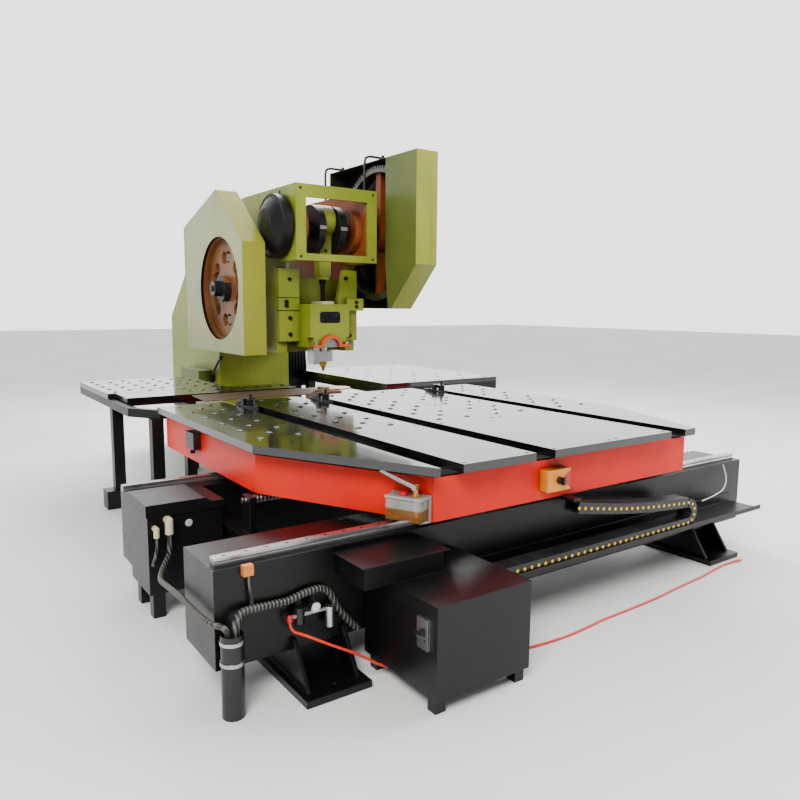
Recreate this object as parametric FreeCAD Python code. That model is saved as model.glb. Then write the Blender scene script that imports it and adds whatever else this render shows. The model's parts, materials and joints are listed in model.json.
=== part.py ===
import FreeCAD, Part
import math
import os

# Crank punch press with a programmed X-Y feeding table.
# Millimetres. X runs along the front of the table, Y from the operator into the press, Z up.
# The origin is the point on the floor straight under the punch.

V = FreeCAD.Vector

# ---- press frame ----
frame_half_width = 363.0
cheek = 90.0                    # thickness of each side cheek
bed_front = -230.0
bed_top = 640.0
bed_plate = 100.0
throat_back = 1380.0
throat_ceiling = 1170.0
ceiling_plate = 90.0
guide_front = 110.0             # front face that carries the gibs
head_front = -230.0
head_bottom = 1896.0
head_top = 2466.0
roof_drop = 126.0               # the roof falls this much towards the back
roof_plate = 60.0
column_back = 2300.0
column_waist = 1866.0
base_back = 2820.0
base_knee = 1426.0
window_half = 276.0
window_low = 1950.0
window_high = 2370.0
window_plate = 20.0

# ---- crank train ----
crank_z = 2160.0
throw = 70.0                    # half the stroke
journal_r = 70.0
crank_pin_r = 80.0
web_r = 190.0
web_in = 64.0
web_out = 124.0
bush_wall = 16.0
run_gap = 0.05                  # radial clearance of every running fit
module = 12.0
gear_teeth = 92
pinion_teeth = 16
gear_in = 510.0                 # left face of the big gear
gear_face = 110.0
drum_r = 245.0
drum_in = 380.0                 # distance of the brake drum's inner face from the centre plane
drum_width = 75.0
drum_dome = 62.0

# ---- back shaft and flywheel ----
shaft_y = 440.0
shaft_r = 50.0
flywheel_r = 470.0
flywheel_in = 560.0
flywheel_width = 130.0
hub_r = 62.0
hub_end = 766.0
pulley_r = 90.0
motor_y = 1080.0
motor_z = 2080.0
motor_r = 118.0
motor_length = 400.0
belt_pitch = 24.0
belt_count = 4

# ---- guards ----
sheet = 4.0
guard_inner = 530.0
guard_outer = 716.0
guard_front = -60.0
guard_low = 1170.0
guard_knee = 2030.0
guard_apex_y = 460.0
guard_apex_z = 2466.0
guard_rear = 1214.0
guard_rear_top = 2244.0
guard_hole_r = 412.0
cover_in = 470.0
cover_out = 676.0
cover_front = -640.0
cover_rear = 700.0
cover_top = 2750.0
cover_knee = 1880.0
cover_bottom_y = -300.0
cover_low = 1532.0
cover_lip = -215.0              # the cover's inner wall ends here

# ---- ram and tools ----
ram_half = 180.0
ram_front = -120.0
ram_back = 200.0
ram_low = 1220.0
ram_high = 1566.0
ram_gap = 0.5
gib_thick = 50.0
gib_low = 1262.0
gib_high = 1850.0
ball_r = 30.0
ball_drop = 36.0
screw_r = 20.0
pocket_gap = 3.0
clamp_ring_r = 100.0
punch_tip = 1018.0
holder_half = 62.0
die_top = 886.0
die_block_top = 862.0
bolster_thick = 80.0

# ---- table ----
skirt_front = -2780.0
skirt_back = -440.0
skirt_left = -1438.0
skirt_right = 1142.0
front_left = -990.0             # where the front panel meets the left chamfer
front_right = 870.0
chamfer_depth = 892.0
skirt_low = 610.0
skirt_high = 810.0
skirt_wall = 10.0
plate_top = 878.0
plate_thick = 40.0
overhang = 52.0
front_overhang = 90.0
plate_corner_right = 830.0       # the front right corner of the last plate
unit_front = -1830.0             # first row of ball units
unit_pitch = 262.0
slot_width = 130.0
slot_1 = -961.0                 # centre lines of the three slots
slot_2 = -387.0
slot_3 = 669.0
plate_seam = 140.0
table_frame_low = 640.0

# ---- slides under the table ----
rail_width = 45.0
rail_height = 32.0
rail_left = -1940.0
rail_right = 1664.0
front_rail_y = -2612.0
rear_rail_y = -1280.0
carriage_length = 200.0
carriage_left = -880.0
carriage_right = 640.0
clamp_y = -700.0
jaw_low = 886.0                  # the sheet lies on this face, level with the ball tops
jaw_high = 891.0
x_screw_y = -1900.0
x_screw_z = 586.0
x_screw_r = 20.0
x_journal_r = 14.0
x_collar_r = 22.5
y_screw_x = -150.0
y_screw_z = 774.0
y_screw_r = 14.0

# ---- base ----
beam_front = -2680.0
beam_depth = 340.0
beam_left = -1960.0
beam_right = 1670.0
beam_low = 160.0
beam_high = 560.0
beam_wall = 12.0
rear_beam_y = -1400.0
rear_beam_depth = 240.0
cross_side = 120.0
foot_width = 300.0
foot_plate = 30.0
foot_reach = 190.0
foot_left = -1518.0
foot_right = 1230.0
tray_z = 290.0
tray_left = -780.0
tray_right = 1566.0
chain_pitch = 47.0
chain_front = -2880.0
link_half = 28.0                 # half the height of a link
turn_r = 58.0                    # the chain's bend
turn_x = 800.0

# ---- cabinets ----
servo_left = -1940.0
servo_right = -1560.0
servo_front = -1740.0
servo_low = 130.0
servo_high = 588.0
console_left = -1290.0
console_right = -800.0
console_front = -3200.0
console_low = 60.0
console_high = 440.0
lid_left = -1450.0
lid_right = -1018.0
lid_front = -2930.0
lid_high = 540.0
riser_x = -1917.0

# ---- wings ----
leg_side = 80.0
left_wing = (-1596.0, -650.0, 480.0, 1480.0)
right_wing = (600.0, 1895.0, -50.0, 1590.0)
bar_left = -1540.0
bar_right = -172.0
bar_front = 140.0
bar_back = 470.0
wing_front = -320.0
unit_flange_r = 20.0
unit_body_r = 15.0
unit_ball_r = 11.0
unit_rise = 8.0

NODES = {}


def box(x0, x1, y0, y1, z0, z1):
    return Part.makeBox(x1 - x0, y1 - y0, z1 - z0, V(x0, y0, z0))


def rod_x(x0, x1, y, z, r):
    return Part.makeCylinder(r, x1 - x0, V(x0, y, z), V(1, 0, 0))


def rod_y(y0, y1, x, z, r):
    return Part.makeCylinder(r, y1 - y0, V(x, y0, z), V(0, 1, 0))


def rod_z(z0, z1, x, y, r):
    return Part.makeCylinder(r, z1 - z0, V(x, y, z0), V(0, 0, 1))


def prism_x(outline, x0, x1):
    """Solid from a (y, z) outline, x0 to x1."""
    points = [V(x0, y, z) for y, z in outline]
    return Part.Face(Part.makePolygon(points + points[:1])).extrude(V(x1 - x0, 0, 0))


def prism_z(outline, z0, z1):
    """Solid from an (x, y) outline, z0 to z1."""
    points = [V(x, y, z0) for x, y in outline]
    return Part.Face(Part.makePolygon(points + points[:1])).extrude(V(0, 0, z1 - z0))


def prism_y(outline, y0, y1):
    """Solid from an (x, z) outline, y0 to y1."""
    points = [V(x, y0, z) for x, z in outline]
    return Part.Face(Part.makePolygon(points + points[:1])).extrude(V(0, y1 - y0, 0))


def join(shapes):
    first = shapes[0]
    return first.fuse(shapes[1:]).removeSplitter() if len(shapes) > 1 else first


def welded(parts):
    """Bars cut to meet each other: each stops where an earlier one already is."""
    made = []
    for n, part in enumerate(parts):
        left = part.cut(parts[:n]) if n else part
        made += left.Solids
    return made


def spin(profile, centre, axis_x):
    """Solid turned about an X or Z line from (along, radius) points."""
    x, y, z = centre
    points = [V(x + a, y, z + r) if axis_x else V(x + r, y, z + a) for a, r in profile]
    face = Part.Face(Part.makePolygon(points + points[:1]))
    return face.revolve(V(x, y, z), V(1, 0, 0) if axis_x else V(0, 0, 1), 360)


def add(name, shapes):
    """File the separate solids of one node."""
    solids = [s for shape in (shapes if isinstance(shapes, list) else [shapes]) for s in shape.Solids]
    NODES.setdefault(name, []).extend(solids)


def tube_path(points):
    """Straight runs joined by tangent arcs; gives the edges and the arc radii."""
    edges, radii, start = [], [], points[0]
    for before, corner, after in zip(points, points[1:], points[2:]):
        d_in = (corner - before).normalize()
        d_out = (after - corner).normalize()
        half = d_in.getAngle(d_out) / 2
        setback = 0.45 * min((corner - before).Length, (after - corner).Length)
        radii.append(setback / math.tan(half))
        p, q = corner - d_in * setback, corner + d_out * setback
        bulge = (d_out - d_in).normalize() * (radii[-1] / math.cos(half) - radii[-1])
        edges.append(Part.LineSegment(start, p).toShape())
        edges.append(Part.Arc(p, corner + bulge, q).toShape())
        start = q
    edges.append(Part.LineSegment(start, points[-1]).toShape())
    return edges, radii


def tube(name, route, r):
    points = [V(*p) for p in route]
    edges, radii = tube_path(points)
    wire = Part.Wire(edges)
    ring = Part.Wire(Part.makeCircle(r, points[0], (points[1] - points[0]).normalize()))
    solid = wire.makePipeShell([ring], True, False)
    if radii:
        print(name, "arc radii", [round(v) for v in radii], "length", round(wire.Length),
              "volume ratio", round(solid.Volume / (math.pi * r * r * wire.Length), 3))
    return solid


# ---------------------------------------------------------------- press frame

def press_frame():
    h, c = frame_half_width, cheek
    slope_z = head_top - roof_drop
    outline = [(bed_front, 0), (bed_front, bed_top), (throat_back, bed_top), (throat_back, throat_ceiling),
               (guide_front, throat_ceiling), (guide_front, head_bottom), (head_front, head_bottom),
               (head_front, head_top), (guard_apex_y + 240, head_top), (column_back, slope_z),
               (column_back, column_waist), (base_back - 20, base_knee), (base_back, 0)]
    body = prism_x(outline, -h, h)
    inner = h - c
    chamber = prism_x([(head_front - 1, throat_ceiling + ceiling_plate), (head_front - 1, head_top + 1),
                       (column_back + 1, head_top + 1), (column_back + 1, column_waist),
                       (base_back + 50, base_knee), (base_back + 50, throat_ceiling + ceiling_plate)],
                      -inner, inner)
    guide = box(-inner, inner, guide_front - 1, ram_back + 20, throat_ceiling - 1, throat_ceiling + 200)
    under = box(-inner, inner, throat_back + cheek, base_back - cheek, cheek,
                throat_ceiling + ceiling_plate + 1)
    below = box(-inner, inner, bed_front + cheek, throat_back + cheek + 1, cheek, bed_top - bed_plate)
    body = body.cut([chamber, guide, under, below])
    wall_back = box(-inner, inner, ram_back + 20, ram_back + 70, throat_ceiling, 1780)
    roof = box(-inner, inner, 1000, 1900, slope_z - roof_plate, slope_z)
    front_tie = box(-inner, inner, head_front, head_front + 70, window_high + 10, head_top)
    sill = box(-inner, inner, head_front, head_front + 50, head_bottom, window_low - 10)
    tie = box(-inner, inner, 380, 430, 2230, 2300)
    bosses = [rod_x(x, x + 60, 0, crank_z, 175) for x in (-inner, inner - 60)]
    body = body.fuse([wall_back, roof, front_tie, sill, tie] + bosses)
    shaft_z = back_shaft_z()
    bores = [rod_x(-h - 1, h + 1, 0, crank_z, journal_r + bush_wall),
             rod_x(-h - 1, h + 1, shaft_y, shaft_z, shaft_r + bush_wall),
             rod_x(-h - 1, -inner + 1, motor_y, motor_z, 60)]
    slot = join([rod_x(-h - 1, -inner + 1, 20, z, 14) for z in (2388, 2426)]
                + [box(-h - 1, -inner + 1, 6, 34, 2388, 2426)])
    add("press_frame", body.cut(bores + [slot]).removeSplitter())


def back_shaft_z():
    centres = module * (gear_teeth + pinion_teeth) / 2
    return crank_z - math.sqrt(centres ** 2 - shaft_y ** 2)


def head_plate():
    h = frame_half_width
    plate = box(-h, h, head_front - window_plate, head_front, head_bottom, head_top)
    hole = box(-window_half, window_half, head_front - window_plate - 1, head_front + 1, window_low,
               window_high)
    hole = hole.makeFillet(12, [e for e in hole.Edges if e.Length == window_plate + 2])
    add("head_plate", plate.cut(hole))


def bearing_bushes():
    inner = frame_half_width - cheek
    long_bush = (inner - 60, frame_half_width + 4)
    for r, y, z, span in ((journal_r, 0, crank_z, long_bush),
                          (shaft_r, shaft_y, back_shaft_z(), (inner, frame_half_width + 4))):
        for side in (-1, 1):
            x0, x1 = sorted((side * span[0], side * span[1]))
            ring = rod_x(x0, x1, y, z, r + bush_wall).cut(rod_x(x0 - 1, x1 + 1, y, z, r + run_gap))
            add("bearing_bushes", ring)


# ---------------------------------------------------------------- crank train

def gear_outline(teeth, turn):
    """Involute tooth outline as (y, z) points about the origin."""
    pitch_r = module * teeth / 2
    base_r = pitch_r * math.cos(math.radians(20))
    tip_r, root_r = pitch_r + 0.8 * module, pitch_r - 1.25 * module
    backlash = 0.06 * module
    half = (math.pi * module / 2 - backlash) / 2 / pitch_r

    def inv(r):
        a = math.acos(min(1, base_r / r))
        return math.tan(a) - a

    radii = [max(root_r, base_r), pitch_r, tip_r]
    flank = [(root_r, half + inv(pitch_r) - inv(radii[0]))] if root_r < base_r else []
    flank += [(r, half + inv(pitch_r) - inv(r)) for r in radii]
    points = []
    for k in range(teeth):
        mid = turn + 2 * math.pi * k / teeth
        points += [(r, mid - a) for r, a in flank] + [(r, mid + a) for r, a in reversed(flank)]
    return [(r * math.cos(a), r * math.sin(a)) for r, a in points]


def mesh_angle():
    """Direction from the crank to the back shaft in the Y-Z plane."""
    return math.atan2(back_shaft_z() - crank_z, shaft_y)


def crankshaft():
    pin_z = crank_z + throw
    parts = [rod_x(-drum_in - drum_width, -web_out, 0, crank_z, journal_r),
             rod_x(web_out, gear_in + gear_face + 14, 0, crank_z, journal_r),
             rod_x(-web_out, -web_in, 0, crank_z, web_r), rod_x(web_in, web_out, 0, crank_z, web_r),
             rod_x(-web_in, web_in, 0, pin_z, crank_pin_r)]
    add("crankshaft", join(parts))


def brake_drum():
    rim = [(0, journal_r), (0, drum_r), (-drum_width, drum_r), (-drum_width, drum_r - 26),
           (-drum_width - 30, drum_r - 70), (-drum_width - 52, 130), (-drum_width - drum_dome, 60),
           (-drum_width - drum_dome, 0.0), (-drum_width - drum_dome + 12, 0.0), (-drum_width, 0.0),
           (-drum_width, journal_r)]
    add("brake_drum", spin(rim, (-drum_in, 0, crank_z), True))


def bull_gear():
    outline = [(y, crank_z + z) for y, z in gear_outline(gear_teeth, mesh_angle())]
    gear = prism_x(outline, gear_in, gear_in + gear_face)
    rim_r = module * gear_teeth / 2 - 46
    hub = 150
    x0, x1 = gear_in, gear_in + gear_face
    ring = rod_x(x0 - 1, x1 + 1, 0, crank_z, rim_r).cut(rod_x(x0 - 1, x1 + 1, 0, crank_z, hub))
    gear = gear.cut(ring).fuse(spokes(x0 + 30, x1 - 30, hub - 20, rim_r + 20))
    hub_ring = rod_x(x0 - 50, x1, 0, crank_z, hub)
    gear = gear.fuse(hub_ring).cut(rod_x(x0 - 60, x1 + 1, 0, crank_z, journal_r)).removeSplitter()
    add("bull_gear", gear)


def spokes(x0, x1, r0, r1):
    """Six flat arms between a hub and a rim on the crank line."""
    arms = []
    for k in range(6):
        arm = box(x0, x1, r0, r1, crank_z - 36, crank_z + 36)
        arm.rotate(V(0, 0, crank_z), V(1, 0, 0), 60 * k + 30)
        arms.append(arm)
    return arms


def pinion_shaft():
    z = back_shaft_z()
    turn = mesh_angle() + math.pi + math.pi / pinion_teeth
    outline = [(shaft_y + a, z + b) for a, b in gear_outline(pinion_teeth, turn)]
    teeth = prism_x(outline, gear_in - 4, gear_in + gear_face + 4)
    shaft = rod_x(-hub_end, gear_in + gear_face + 30, shaft_y, z, shaft_r)
    add("pinion_shaft", join([shaft, teeth]))


def flywheel():
    z = back_shaft_z()
    x0, x1 = -flywheel_in - flywheel_width, -flywheel_in
    r = flywheel_r
    half_groove = 9.0
    rim = [(0, r - 70), (0, r)]
    for k in range(belt_count):
        a = flywheel_width / 2 + (k - (belt_count - 1) / 2) * belt_pitch
        rim += [(a - half_groove, r), (a - half_groove / 2, r - 16), (a + half_groove / 2, r - 16),
                (a + half_groove, r)]
    rim += [(flywheel_width, r), (flywheel_width, r - 70)]
    wheel = spin(rim, (x0, shaft_y, z), True)
    web = rod_x(x0 + 45, x1 - 45, shaft_y, z, r - 60)
    hub = rod_x(x0 - 10, x1, shaft_y, z, 105)
    wheel = wheel.fuse([web, hub])
    holes = []
    for k in range(6):
        a = math.radians(60 * k + 30)
        ends = [rod_x(x0, x1, shaft_y + 255 * math.cos(a + s), z + 255 * math.sin(a + s),
                      52) for s in (-.17, .17)]
        holes += ends
    wheel = wheel.cut(holes).cut(rod_x(x0 - 20, x1 + 1, shaft_y, z, shaft_r)).removeSplitter()
    sleeve = rod_x(-hub_end, x0 - 10, shaft_y, z, hub_r).cut(rod_x(-hub_end - 1, x0, shaft_y, z, shaft_r))
    nut = spin([(0, 0), (0, 24), (-16, 24), (-16, 0)], (-hub_end, shaft_y, z), True)
    add("flywheel", [wheel, sleeve, nut])


def motor():
    x0 = -frame_half_width + cheek + 10
    body = rod_x(x0, x0 + motor_length, motor_y, motor_z, motor_r)
    flange = rod_x(x0 - 10, x0 + 14, motor_y, motor_z, motor_r + 22)
    fins = []
    for k in range(24):
        fin = box(x0 + 40, x0 + motor_length - 40, motor_y - 2, motor_y + 2, motor_z + motor_r - 4,
                  motor_z + motor_r + 14)
        fin.rotate(V(0, motor_y, motor_z), V(1, 0, 0), 15 * k)
        fins.append(fin)
    case = join([body, flange] + fins).cut(rod_x(x0 - 11, x0 + motor_length - 30, motor_y, motor_z,
                                                 30 + run_gap))
    add("motor", case)


def motor_pulley():
    x0, x1 = -flywheel_in - flywheel_width + 5, -flywheel_in - 5
    shaft = rod_x(x0, -frame_half_width + cheek + motor_length - 60, motor_y, motor_z, 30)
    width = x1 - x0
    rim = [(0, 0.0), (0, pulley_r)]
    for k in range(belt_count):
        a = width / 2 + (k - (belt_count - 1) / 2) * belt_pitch
        rim += [(a - 9, pulley_r), (a - 4.5, pulley_r - 16), (a + 4.5, pulley_r - 16), (a + 9, pulley_r)]
    rim += [(width, pulley_r), (width, 0.0)]
    add("motor_pulley", join([shaft, spin(rim, (x0, motor_y, motor_z), True)]))


def belt_loop(r_big, r_small):
    """Outline of a belt round flywheel and pulley as one face at x = 0."""
    z = back_shaft_z()
    a, b = V(0, shaft_y, z), V(0, motor_y, motor_z)
    d = (b - a).Length
    lean = math.atan2(b.z - a.z, b.y - a.y)
    swing = math.acos((r_big - r_small) / d)

    def at(c, r, ang):
        return V(0, c.y + r * math.cos(ang), c.z + r * math.sin(ang))

    up, down = lean + swing, lean - swing
    edges = [Part.LineSegment(at(a, r_big, up), at(b, r_small, up)).toShape(),
             Part.Arc(at(b, r_small, up), at(b, r_small, lean), at(b, r_small, down)).toShape(),
             Part.LineSegment(at(b, r_small, down), at(a, r_big, down)).toShape(),
             Part.Arc(at(a, r_big, down), at(a, r_big, lean + math.pi), at(a, r_big, up)).toShape()]
    return Part.Face(Part.Wire(edges))


def drive_belts():
    half = 3.5
    centre = -flywheel_in - flywheel_width / 2
    for k in range(belt_count):
        x = centre + (k - (belt_count - 1) / 2) * belt_pitch
        outer = belt_loop(flywheel_r + 5, pulley_r + 5).extrude(V(2 * half, 0, 0))
        inner = belt_loop(flywheel_r - 8, pulley_r - 8).extrude(V(2 * half, 0, 0))
        loop = outer.cut(inner)
        loop.translate(V(x - half, 0, 0))
        add("drive_belts", loop)


# ---------------------------------------------------------------- guards

def shell(outline, inset, x0, x1, open_x):
    """Sheet box from an outline, closed on one X side."""
    outer = prism_x(outline, x0, x1)
    cavity = prism_x(inset, x0 - 1 if open_x < 0 else x0 + sheet, x1 - sheet if open_x < 0 else x1 + 1)
    return outer.cut(cavity)


def inset_outline(outline, gap):
    """The outline moved inwards by the gap, for outlines listed anticlockwise."""
    lines = []
    n = len(outline)
    for k in range(n):
        (ya, za), (yb, zb) = outline[k], outline[(k + 1) % n]
        length = math.hypot(yb - ya, zb - za)
        ny, nz = -(zb - za) / length, (yb - ya) / length
        lines.append((ya + ny * gap, za + nz * gap, yb - ya, zb - za))
    result = []
    for k in range(n):
        y1, z1, dy1, dz1 = lines[k - 1]
        y2, z2, dy2, dz2 = lines[k]
        t = ((y2 - y1) * dz2 - (z2 - z1) * dy2) / (dy1 * dz2 - dz1 * dy2)
        result.append((y1 + dy1 * t, z1 + dz1 * t))
    return result


def belt_guard():
    outline = [(guard_front, guard_low), (guard_rear, guard_low), (guard_rear, guard_rear_top),
               (guard_apex_y, guard_apex_z), (guard_front, guard_knee)]
    case = shell(outline, inset_outline(outline, sheet), -guard_outer, -guard_inner, 1)
    case = case.cut(rod_x(-guard_outer - 1, -guard_outer + sheet + 1, shaft_y, back_shaft_z(), guard_hole_r))
    lugs = [box(-guard_inner - 40, -frame_half_width, y, y + 60, z, z + 8)
            for y, z in ((700, guard_low + sheet), (1080, guard_low + sheet))]
    add("belt_guard", join([case] + lugs))


def gear_guard():
    outline = [(cover_bottom_y, cover_low), (cover_rear, cover_low), (cover_rear, cover_top),
               (cover_front, cover_top), (cover_front, cover_knee)]
    case = shell(outline, inset_outline(outline, sheet), cover_in, cover_out, -1)
    lip = prism_x([(cover_front + 1, cover_knee), (cover_bottom_y + 1, cover_low + 1),
                   (cover_lip - 40, cover_low + 1),
                   (cover_lip, 1900), (cover_lip, cover_top - 1), (cover_front + 1, cover_top - 1)],
                  cover_in, cover_in + sheet)
    lugs = [box(frame_half_width, cover_in + sheet + 40, y, y + 60, cover_low + sheet, cover_low + sheet + 8)
            for y in (200, 560)]
    add("gear_guard", join([case, lip] + lugs))


def guard_stays():
    x, top = frame_half_width - 33, cover_top + 12
    for y in (-116.0, 534.0):
        route = [(x, y, head_top), (x, y, top - 60), (x + 8, y, top - 14), (x + 50, y, top),
                 (cover_in + 60, y, top)]
        bar = tube("stay", route, 10)
        nut = rod_z(top + 10, top + 22, cover_in + 40, y, 13)
        add("guard_stays", [bar, nut])


# ---------------------------------------------------------------- rod, ram and tools

def connecting_rod():
    pin_z = crank_z + throw
    big = rod_x(-58, 58, 0, pin_z, crank_pin_r + 42)
    neck = prism_x([(-62, pin_z - 90), (-46, 1790), (46, 1790), (62, pin_z - 90)], -50, 50)
    body = join([big, neck]).cut(rod_x(-59, 59, 0, pin_z, crank_pin_r + run_gap))
    body = body.cut(rod_z(1789, 1900, 0, 0, screw_r + 0.02))
    oil = rod_y(-140, -20, 0, 1990, 13)
    add("connecting_rod", body.cut(oil))


def ball_screw():
    low = ram_high - ball_drop
    ball = Part.makeSphere(ball_r, V(0, 0, low))
    stem = rod_z(low, 1900, 0, 0, screw_r)
    thick = rod_z(ram_high + 160, 1762, 0, 0, 30)
    add("ball_screw", join([ball, stem, thick]))


def lock_collar():
    low, high = 1764, 1789
    flats = []
    for k in range(6):
        a = math.radians(60 * k)
        flats.append((62 * math.cos(a), 62 * math.sin(a)))
    add("lock_collar", prism_z(flats, low, high).cut(rod_z(low - 1, high + 1, 0, 0, screw_r + 0.02)))


def ram():
    w = ram_half
    body = box(-w, w, ram_front, ram_back, ram_low, ram_high)
    body = body.cut(pocket(ram_high - ball_drop - ball_r - 2 * throw - pocket_gap, ram_high + 1))
    arch = rod_y(ram_front - 1, 62, 0, ram_low, clamp_ring_r + 1)
    socket = rod_z(ram_low - 1, ram_low + 110, 0, 0, 30)
    ears = [box(-w - 1, -w + 30, ram_front - 1, ram_front + 60, ram_low - 1, ram_low + 80),
            box(w - 30, w + 1, ram_front - 1, ram_front + 60, ram_low - 1, ram_low + 80)]
    body = body.cut([arch, socket] + ears)
    nameplate = box(-92, 92, ram_front - 3, ram_front, ram_high - 150, ram_high - 60)
    add("ram", [body, nameplate])


def pocket(z0, z1):
    """Room for the ball end of the rod, which swings fore and aft."""
    reach = throw + ball_r + pocket_gap
    half = ball_r + pocket_gap
    ends = [rod_z(z0, z1, 0, s * (reach - half), half) for s in (-1, 1)]
    return join(ends + [box(-half, half, half - reach, reach - half, z0, z1)])


def ball_cap():
    plate = box(-60, 60, ram_front + 6, -ram_front - 6, ram_high, ram_high + 22)
    plate = plate.makeFillet(40, [e for e in plate.Edges if abs(e.Length - 22) < 0.01])
    add("ball_cap", plate.cut(pocket(ram_high - 1, ram_high + 23)))


def shank_clamp():
    outer = rod_y(ram_front - 34, ram_front + 40, 0, ram_low, clamp_ring_r)
    bore = rod_y(ram_front - 35, ram_front + 41, 0, ram_low, clamp_ring_r - 30)
    half = box(-200, 200, ram_front - 40, ram_front + 50, ram_low, ram_low + 200)
    ring = outer.cut(bore).common(half)
    feet = [box(s * 125 - 45, s * 125 + 45, ram_front - 34, ram_front - 2, ram_low,
                ram_low + 22) for s in (-1, 1)]
    ring = join([ring] + feet)
    cap = rod_y(ram_front - 12, ram_front + 40, 0, ram_low, clamp_ring_r - 31).common(half)
    bolts = [rod_z(ram_low + 22, ram_low + 44, s * 140, ram_front - 18, 14) for s in (-1, 1)]
    add("shank_clamp", [ring, cap] + bolts)


def punch_holder():
    top = ram_low - 36
    low = 1098.0
    body = box(-holder_half, holder_half, -56, 56, low, top)
    body = body.makeChamfer(6, [e for e in body.Edges if abs(e.Length - (top - low)) < 0.01])
    shank = rod_z(top, ram_low + 100, 0, 0, 29.6)
    guide = box(-holder_half - 52, -holder_half - 2, -50, 60, low - 20, ram_low - 2)
    add("punch_holder", [join([body, shank]).cut(rod_z(low - 1, low + 40, 0, 0, 26)), guide])


def punch():
    profile = [(0, 0), (40, 0), (40, 26), (0, 26), (0, 34), (-30, 34), (-30, 24), (-46, 24), (-52, 14),
               (punch_tip - 1098, 12), (punch_tip - 1098, 0)]
    add("punch", spin(profile, (0, 0, 1098), False))


def gibs():
    for side in (-1, 1):
        inner, outer = side * (ram_half + ram_gap), side * frame_half_width
        x0, x1 = sorted((inner, outer))
        if side < 0:
            cuts = (gib_low, gib_low + 250, gib_low + 353, gib_high)
            blocks = [box(x0, x1, guide_front - gib_thick, guide_front, a + 3, b - 3) for a,
                      b in zip(cuts, cuts[1:])]
            add("gibs", blocks)
        else:
            slant = [(x0, gib_low), (x1, gib_low), (x1, gib_high), (x0 + 55, gib_high), (x0, gib_high - 240)]
            body = prism_y(slant, guide_front - gib_thick, guide_front)
            side_block = box(x0 + 60, x1 + 40, guide_front - gib_thick - 45, guide_front - gib_thick - 1,
                             gib_low + 250, gib_low + 353)
            add("gibs", [body, side_block])


def press_bolts():
    y = guide_front - gib_thick
    spots = [(-270, gib_low + 60), (-270, gib_low + 190), (-300, gib_low + 290), (-300, gib_low + 322),
             (-270, gib_low + 500), (250, gib_low + 520), (290, gib_low + 40)]
    for x, z in spots:
        add("press_bolts", bolt_y(x, y, z, 15, 16))
    for z in (gib_low + 285, gib_low + 322):
        add("press_bolts", bolt_y(330, y - 45, z, 13, 14))
    for sx in (-1, 1):
        for z in (head_bottom + 30, head_top - 34):
            add("press_bolts", bolt_y(sx * (frame_half_width - 40), head_front - window_plate, z, 9, 5))


def bolt_y(x, y, z, r, h):
    """Socket cap screw head standing on a face that looks to -Y."""
    head = rod_y(y - h, y, x, z, r)
    key = []
    for k in range(6):
        a = math.radians(60 * k)
        key.append((x + 0.55 * r * math.cos(a), z + 0.55 * r * math.sin(a)))
    return head.cut(prism_y(key, y - h - 1, y - h * 0.45))


def bolster():
    plate = box(-330, 330, bed_front + 20, 420, bed_top, bed_top + bolster_thick)
    slots = [box(x - 14, x + 14, bed_front, 421, bed_top + bolster_thick - 24, bed_top + bolster_thick + 1)
             for x in (-220, 220)]
    add("bolster_plate", plate.cut(slots))


def die_block():
    low = bed_top + bolster_thick
    block = box(-95, 95, -140, 140, low, die_block_top)
    block = block.cut(rod_z(low - 1, die_block_top + 1, 0, 0, 40))
    arm = join([box(-160, 150, -95, 95, die_block_top, die_block_top + 10),
                rod_z(die_block_top, die_block_top + 10, 150, 0, 95)])
    arm = arm.cut(rod_z(die_block_top - 1, die_block_top + 11, 0, 0, 52))
    die = spin([(0, 14), (0, 50), (die_top - die_block_top, 50), (die_top - die_block_top, 13)],
               (0, 0, die_block_top), False)
    add("die_block", [block, arm, die])


def hand_lever():
    x, y, z = -frame_half_width - 22, 1540.0, 842.0
    boss = rod_x(x - 14, x + 22, y, z, 34)
    arm = tube("lever", [(x - 4, y, z), (x - 6, y - 90, z + 92), (x - 6, y - 205, z + 182),
                         (x - 6, y - 262, z + 212)], 11)
    knob = Part.makeSphere(22, V(x - 6, y - 272, z + 218))
    add("hand_lever", join([boss, arm, knob]))


def finned_unit():
    x0, x1, y0, y1 = frame_half_width + 20, frame_half_width + 350, 1640.0, 1940.0
    low, high = 700.0, 1090.0
    body = box(x0 + 14, x1 - 14, y0 + 14, y1 - 14, low, high)
    fins = []
    for k in range(9):
        x = x0 + 20 + k * (x1 - x0 - 40) / 8
        fins.append(prism_x([(y0 + 30, low + 10), (y0 - 4, low + 90), (y0 - 10, low + 200),
                             (y0 + 8, high - 8),
                             (y1 - 10, high - 8), (y1 - 10, low + 10)], x - 4, x + 4))
    lid = box(x0, x1, y0 - 6, y1, high, high + 18)
    stand = box(x0 + 40, x1 - 40, y0 + 60, y1 - 40, 0, low)
    add("finned_unit", join([body] + fins + [stand]))
    add("finned_unit", lid)


# ---------------------------------------------------------------- table

def skirt_outline(grow, front_grow):
    """Plan of the table with its two cut corners, moved outwards."""
    back = skirt_back + grow
    chamfer_y = skirt_front + chamfer_depth
    right = front_right if grow <= 0 else plate_corner_right
    return [(front_left - grow * 0.9, skirt_front - front_grow), (right, skirt_front - front_grow),
            (skirt_right + grow, chamfer_y - front_grow), (skirt_right + grow, back),
            (skirt_left - grow, back), (skirt_left - grow, chamfer_y - front_grow)]


def table_skirt():
    outer = prism_z(skirt_outline(0, 0), skirt_low, skirt_high)
    inner = prism_z(skirt_outline(-skirt_wall, -skirt_wall), skirt_low - 1, skirt_high + 1)
    add("table_skirt", outer.cut(inner))


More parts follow.
